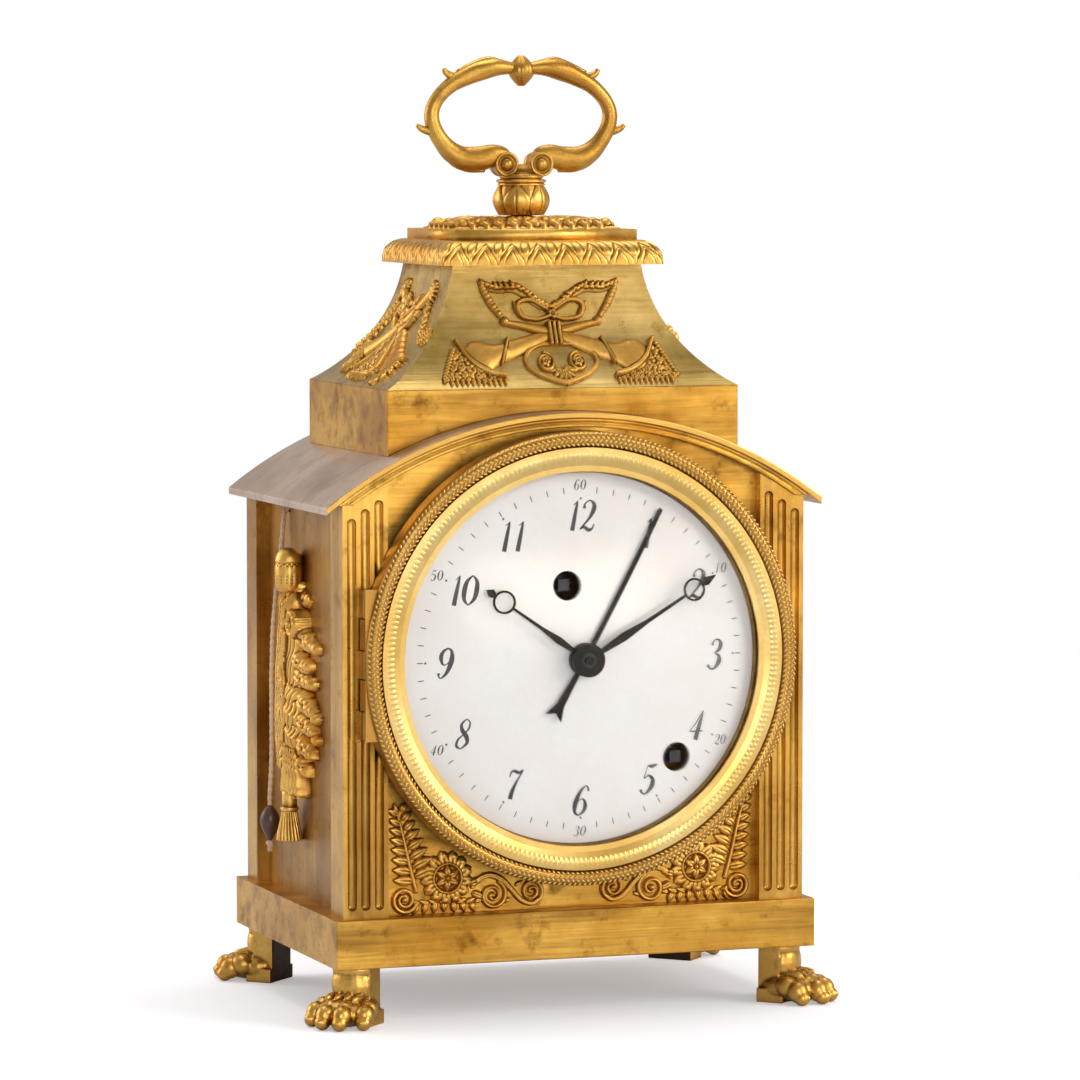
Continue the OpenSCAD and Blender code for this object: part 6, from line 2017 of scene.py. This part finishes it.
        r.h = np.where(r.h > 0.9, r.h + 0.11 * folds, r.h)
        return r

    def _round_ends(self, side: Side) -> list[Object]:
        """Turn a side trophy's bud and its tassel, which stand clear of the panel.

        Args:
            side: The side.

        Returns:
            Both pieces.
        """
        at = (side.value * (PANEL_X + self.pendant_axis), MID_Y + self.pendant_y)
        bud = [
            (1.6, 0.0), (2.5, 0.5), (2.95, 1.6), (3.15, 3.4), (3.15, 5.4), (2.9, 6.7), (3.1, 7.2),
            (2.8, 8.5), (2.0, 9.6), (1.0, 10.1), (0.05, 10.2),
        ]

        def weave(a: Array, z: Array, r: Array) -> Array:
            """Cover the bud with staggered scales."""
            rows = np.cos(14 * a + np.pi * np.floor(z / 0.75)) * np.cos(2 * np.pi * z / 1.5)
            return 0.16 * rows * np.clip(z / 0.8, 0, 1) * (z < 6.9)

        brush = [
            (0.05, 0.0), (2.6, 0.1), (2.85, 0.7), (2.55, 2.6), (2.1, 4.6), (1.8, 6.2), (1.75, 6.8),
            (2.05, 7.1), (2.05, 7.7), (1.75, 8.0), (1.75, 11.4),
        ]

        def strands(a: Array, z: Array, r: Array) -> Array:
            """Cut the tassel into threads."""
            return 0.13 * np.cos(20 * a + 0.5 * z) * (z < 6.6)

        return [
            lathe("bud", smooth_path(bud, 5), 84, (*at, 93.2), weave),
            lathe("tassel", smooth_path(brush, 5), 120, (*at, 36.5), strands),
        ]


# How far the fired black stands out from the enamel
INK_HEIGHT = 0.012


@dataclass
class DialSide(Assembly):
    """Bezel ornament, dial markings and winding holes.

    Attributes:
        knots: Number of knots in each round of the rope band.
        knot_radii: Radii of its rounds.
        bars: Number of engine-turned bars.
        bar_rows: Radius of the bars' points and how far these lie before the clock's middle.
        hour_radius: Radius of the hours.
        minute_radius: Radius of the minutes.
        tick_row: Radius and half width of a minute's tick along it.
        dot_radii: Radius of the hours' dots, and of the two on the upright line.
        wells: Centres of the winding holes.
    """

    knots: int = 264
    knot_radii: tuple[float, ...] = (50.3, 49.5, 48.7, 47.9)
    bars: int = 240
    bar_rows: tuple[Point, ...] = ((43.9, 42.62), (44.6, 42.98), (45.6, 43.1), (46.4, 43.02), (46.95, 42.8))
    hour_radius: float = 31.9
    minute_radius: float = 38.75
    tick_row: tuple[Point, ...] = ((36.9, 0.09), (37.6, 0.12), (38.3, 0.09))
    dot_radii: Point = (36.4, 35.7)
    wells: tuple[Point, ...] = ((-3.8, 16.45), (22.7, -22.85))
    skins: ClassVar[dict[str, BVHTree]] = {}

    def build(self) -> None:
        """Dress the bezel and the dial."""
        self._braid()
        self._bars()
        self._markings()
        self._wells()

    def _braid(self) -> None:
        """Weave the rope band of the bezel from small knots."""
        rows = []
        centre = Matrix.Translation(Vector((0.0, MID_Y, DIAL_Z)) * MM)
        for k, radius in enumerate(self.knot_radii):
            y = float(self._front_of("bezel", np.array(0.0), np.array(radius)))
            knot = lump((0, 0, 0), (0.58, 0.3, 0.25), 10)
            knot.data.transform(Matrix.Rotation(math.radians(40 if k % 2 else -40), 4, "Y"))
            knot.data.transform(Matrix.Translation(Vector((0.0, y - 0.06, DIAL_Z + radius)) * MM))
            if k % 2:
                half_step = Matrix.Rotation(math.pi / self.knots, 4, "Y")
                knot.data.transform(centre @ half_step @ centre.inverted())
            rows.append(knot)
        unit = join("braid_band", rows)
        self.repeats.round_dial(unit, self.knots, self.palette["braid"])
        self.keep(mark_wear(unit, 1.5), "bezel", None, slot="bright_gilt")

    def _bars(self) -> None:
        """Cut the fine radial bars of the inner ring."""
        rows = [(DIAL_Z + r, MID_Y - y) for r, y in self.bar_rows]
        points, faces = [], []
        for i, (z, y) in enumerate(rows):
            half = math.pi * (z - DIAL_Z) / self.bars
            for w, d in ((-1.0, 0.09), (-0.6, 0.0), (0.0, -0.03), (0.6, 0.0), (1.0, 0.09)):
                points.append((w * half, y + d + (0.2 if i in (0, 4) else 0.0), z))
        for i in range(4):
            for k in range(4):
                a = i * 5 + k
                faces.append((a, a + 1, a + 6, a + 5))
        unit = mesh_object("bar_ring", np.array(points), faces)
        self.repeats.round_dial(unit, self.bars, self.palette["fine_bars"])
        self.keep(mark_wear(unit, 1.2, 1), "bezel", None, slot="bright_gilt")

    @classmethod
    def _front_of(cls, node: str, x: Array, z: Array) -> Array:
        """Find a node's surface by looking along Y from the front.

        Args:
            node: Name of the node.
            x: Across from the dial's centre.
            z: Up from the dial's centre.

        Returns:
            Its y, or the node's back where there is a hole.
        """
        low, high = box_mm(node)
        if node not in cls.skins:
            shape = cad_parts[node]
            points = [shape.matrix_world @ v.co for v in shape.data.vertices]
            cls.skins[node] = BVHTree.FromPolygons(points, [p.vertices[:] for p in shape.data.polygons])
        out = []
        for a, b in zip(np.ravel(x), np.ravel(z)):
            start = Vector((a * MM, (low[1] - 5) * MM, (b + DIAL_Z) * MM))
            hit = cls.skins[node].ray_cast(start, Vector((0.0, 1.0, 0.0)), 0.03)[0]
            out.append(hit[1] / MM if hit else float(high[1]))
        return np.array(out).reshape(np.shape(x))

    def _ribbon(self, rows: Array) -> tuple[Array, list[tuple[int, ...]]]:
        """Turn a pen stroke on the dial into a thin skin.

        Args:
            rows: Rows of x, z and half width.

        Returns:
            Points and faces.
        """
        tangent = np.gradient(rows[:, :2], axis=0)
        tangent /= np.maximum(np.linalg.norm(tangent, axis=1), 1e-9)[:, None]
        side = np.stack([-tangent[:, 1], tangent[:, 0]], axis=1) * rows[:, 2][:, None]
        left, right = rows[:, :2] + side, rows[:, :2] - side
        flat = np.stack([left, right], axis=1).reshape(-1, 2)
        y = self._front_of("dial", flat[:, 0], flat[:, 1]) - INK_HEIGHT
        points = np.stack([flat[:, 0], y, flat[:, 1] + DIAL_Z], axis=1)
        faces = [(2 * i, 2 * i + 1, 2 * i + 3, 2 * i + 2) for i in range(len(rows) - 1)]
        return points, faces

    DIGITS: ClassVar[dict[str, list]] = {
        "0": [
            [
                (0.0, 1.0, 0.02), (-0.2, 0.8, 0.07), (-0.25, 0.5, 0.095), (-0.2, 0.2, 0.07),
                (0.0, 0.0, 0.02),
            ],
            [(0.0, 1.0, 0.02), (0.2, 0.8, 0.07), (0.25, 0.5, 0.095), (0.2, 0.2, 0.07), (0.0, 0.0, 0.02)],
        ],
        "1": [
            [(0.03, 1.0, 0.02), (0.02, 0.85, 0.05), (0.0, 0.5, 0.075), (-0.02, 0.0, 0.09)],
            [(0.03, 1.0, 0.015), (-0.06, 0.9, 0.02), (-0.13, 0.87, 0.015)],
        ],
        "2": [[
            (-0.2, 0.74, 0.07), (-0.19, 0.9, 0.03), (0.0, 1.0, 0.03), (0.2, 0.86, 0.08),
            (0.2, 0.66, 0.09), (0.05, 0.38, 0.05), (-0.26, 0.05, 0.025),
        ], [
            (-0.26, 0.05, 0.03), (-0.1, 0.12, 0.06), (0.1, 0.02, 0.075), (0.26, 0.06, 0.04),
            (0.3, 0.22, 0.02),
        ]],
        "3": [[
            (-0.19, 0.8, 0.06), (-0.15, 0.94, 0.03), (0.02, 1.0, 0.03), (0.18, 0.86, 0.08),
            (0.16, 0.66, 0.07), (-0.02, 0.54, 0.02),
        ], [
            (-0.02, 0.54, 0.02), (0.18, 0.44, 0.06), (0.24, 0.25, 0.095), (0.1, 0.03, 0.05),
            (-0.08, 0.0, 0.03), (-0.24, 0.14, 0.07),
        ]],
        "4": [
            [(0.16, 1.0, 0.02), (-0.05, 0.62, 0.025), (-0.28, 0.3, 0.02)],
            [(-0.28, 0.3, 0.025), (0.0, 0.3, 0.025), (0.3, 0.3, 0.025)],
            [(0.16, 1.0, 0.02), (0.12, 0.6, 0.07), (0.08, 0.3, 0.09), (0.06, 0.0, 0.09)],
        ],
        "5": [
            [(-0.14, 0.96, 0.03), (0.05, 0.94, 0.07), (0.26, 1.0, 0.03)],
            [(-0.14, 0.96, 0.02), (-0.17, 0.75, 0.02), (-0.2, 0.52, 0.02)],
            [
                (-0.2, 0.52, 0.02), (0.0, 0.62, 0.04), (0.2, 0.48, 0.08), (0.22, 0.25, 0.095),
                (0.06, 0.03, 0.05), (-0.1, 0.0, 0.03), (-0.24, 0.14, 0.07),
            ],
        ],
        "6": [[
            (0.2, 0.84, 0.06), (0.16, 0.96, 0.03), (0.04, 1.0, 0.03), (-0.14, 0.8, 0.07),
            (-0.23, 0.42, 0.1), (-0.17, 0.12, 0.06), (0.0, 0.0, 0.03),
        ], [
            (0.0, 0.0, 0.03), (0.18, 0.12, 0.06), (0.22, 0.32, 0.08), (0.1, 0.54, 0.04),
            (-0.06, 0.54, 0.02), (-0.2, 0.36, 0.02),
        ]],
        "7": [
            [
                (-0.24, 0.76, 0.02), (-0.2, 0.94, 0.04), (-0.06, 0.96, 0.06), (0.1, 0.9, 0.06),
                (0.28, 1.0, 0.025),
            ],
            [(0.28, 1.0, 0.02), (0.12, 0.66, 0.04), (0.0, 0.3, 0.08), (-0.02, 0.0, 0.09)],
        ],
        "8": [[
            (0.16, 0.9, 0.03), (0.0, 1.0, 0.025), (-0.17, 0.84, 0.05), (-0.1, 0.64, 0.08),
            (0.12, 0.42, 0.09), (0.2, 0.2, 0.06), (0.0, 0.0, 0.025),
        ], [
            (0.0, 0.0, 0.025), (-0.2, 0.1, 0.05), (-0.19, 0.32, 0.04), (0.0, 0.5, 0.025),
            (0.16, 0.7, 0.04), (0.16, 0.9, 0.03),
        ]],
        "9": [[
            (-0.2, 0.16, 0.06), (-0.16, 0.04, 0.03), (-0.04, 0.0, 0.03), (0.14, 0.2, 0.07),
            (0.23, 0.58, 0.1), (0.17, 0.88, 0.06), (0.0, 1.0, 0.03),
        ], [
            (0.0, 1.0, 0.03), (-0.18, 0.88, 0.06), (-0.22, 0.68, 0.08), (-0.1, 0.46, 0.04),
            (0.06, 0.46, 0.02), (0.2, 0.64, 0.02),
        ]],
    }

    def _number(self, text: str, at: Point, size: float, weight: float, advance: float) -> list[Array]:
        """Lay out the strokes of a number.

        Args:
            text: Its digits.
            at: Its centre from the dial's centre.
            size: Height of a digit.
            weight: Factor on the strokes' widths.
            advance: Distance between digits, as a share of their height.

        Returns:
            Strokes as rows of x, z and half width.
        """
        strokes = []
        for k, digit in enumerate(text):
            shift = (k - (len(text) - 1) / 2) * advance
            for rows in self.DIGITS[digit]:
                pen = smooth_path(rows, 6)
                x = (0.84 * pen[:, 0] + shift + 0.2 * (pen[:, 1] - 0.5)) * size
                z = (pen[:, 1] - 0.5) * size
                strokes.append(np.stack([at[0] + x, at[1] + z, pen[:, 2] * size * weight], axis=1))
        return strokes

    def _ink(self, name: str, strokes: Iterable[Array]) -> Object:
        """Lay pen strokes on the dial.

        Args:
            name: Name of the result.
            strokes: Strokes as rows of x, z and half width.

        Returns:
            Their thin skins in one mesh.
        """
        points, faces = [], []
        for rows in strokes:
            p, f = self._ribbon(rows)
            faces += [tuple(i + len(points) for i in face) for face in f]
            points += p.tolist()
        return mesh_object(name, np.array(points), faces, False)

    def _markings(self) -> None:
        """Paint the hours, the minutes and their ticks."""
        strokes = []
        for hour in range(1, 13):
            a = math.radians(30 * hour)
            spot = (self.hour_radius * math.sin(a), self.hour_radius * math.cos(a))
            strokes += self._number(str(hour), spot, 6.6, 0.88, 0.47)
        for minute in range(10, 61, 10):
            a = math.radians(6 * minute)
            spot = (self.minute_radius * math.sin(a), self.minute_radius * math.cos(a))
            strokes += self._number(str(minute), spot, 2.3, 0.8, 0.66)
        self.keep(self._ink("dial_numbers", strokes), "case", "ink", slot="enamel")
        strokes = []
        for minute in range(1, 10):
            a = math.radians(6 * minute)
            strokes.append(np.array([(r * math.sin(a), r * math.cos(a), w) for r, w in self.tick_row]))
        ticks = self._ink("minute_ticks", strokes)
        self.repeats.round_dial(ticks, 6, self.palette["ink"])
        ticks.data.shade_flat()
        self.keep(ticks, "case", None, slot="enamel")
        marks = []
        for k in range(12):
            a = math.radians(30 * k)
            radius = self.dot_radii[0] if k % 6 else self.dot_radii[1]
            points = []
            for j in range(10):
                b = 2 * math.pi * j / 10
                x, z = radius * math.sin(a) + 0.26 * math.cos(b), radius * math.cos(a) + 0.26 * math.sin(b)
                y = float(self._front_of("dial", np.array(x), np.array(z))) - INK_HEIGHT
                points.append((x, y, DIAL_Z + z))
            marks.append(mesh_object("mark", np.array(points), [tuple(range(10))[::-1]], False))
        dots = join("hour_dots", marks)
        dots.data.shade_flat()
        self.keep(dots, "case", "ink", slot="enamel")

    def _wells(self) -> None:
        """Line the winding holes so that they look dark."""
        wells = []
        for x, z in self.wells:
            top = float(self._front_of("dial", np.array(x), np.array(z)))
            ring = np.linspace(0, 2 * np.pi, 40, endpoint=False)
            points = []
            for radius, depth in ((3.28, 0.25), (3.22, 1.6), (1.95, 2.6)):
                for a in ring:
                    px, pz = x + radius * math.cos(a), z + radius * math.sin(a)
                    points.append((px, top + depth, DIAL_Z + pz))
            faces = tube_faces(3, len(ring), outward=False, capped=False)
            wells.append(mesh_object("well", np.array(points), faces))
        self.keep(join("winding_wells", wells), "case", "hole_black", slot="steel")


def main() -> None:
    """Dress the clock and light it."""
    logging.basicConfig(level=logging.INFO)
    Studio().build()
    palette, repeats = Palette(), Repeats()
    for kind in (PullCord, CaseShell, Feet, TopWorks, Mounts, DialSide):
        part = kind(palette, repeats)
        part.build()
        for piece in part.made:
            LOG.info("%s: %s", kind.__name__, piece.name)


if __name__ == "__main__":
    main()
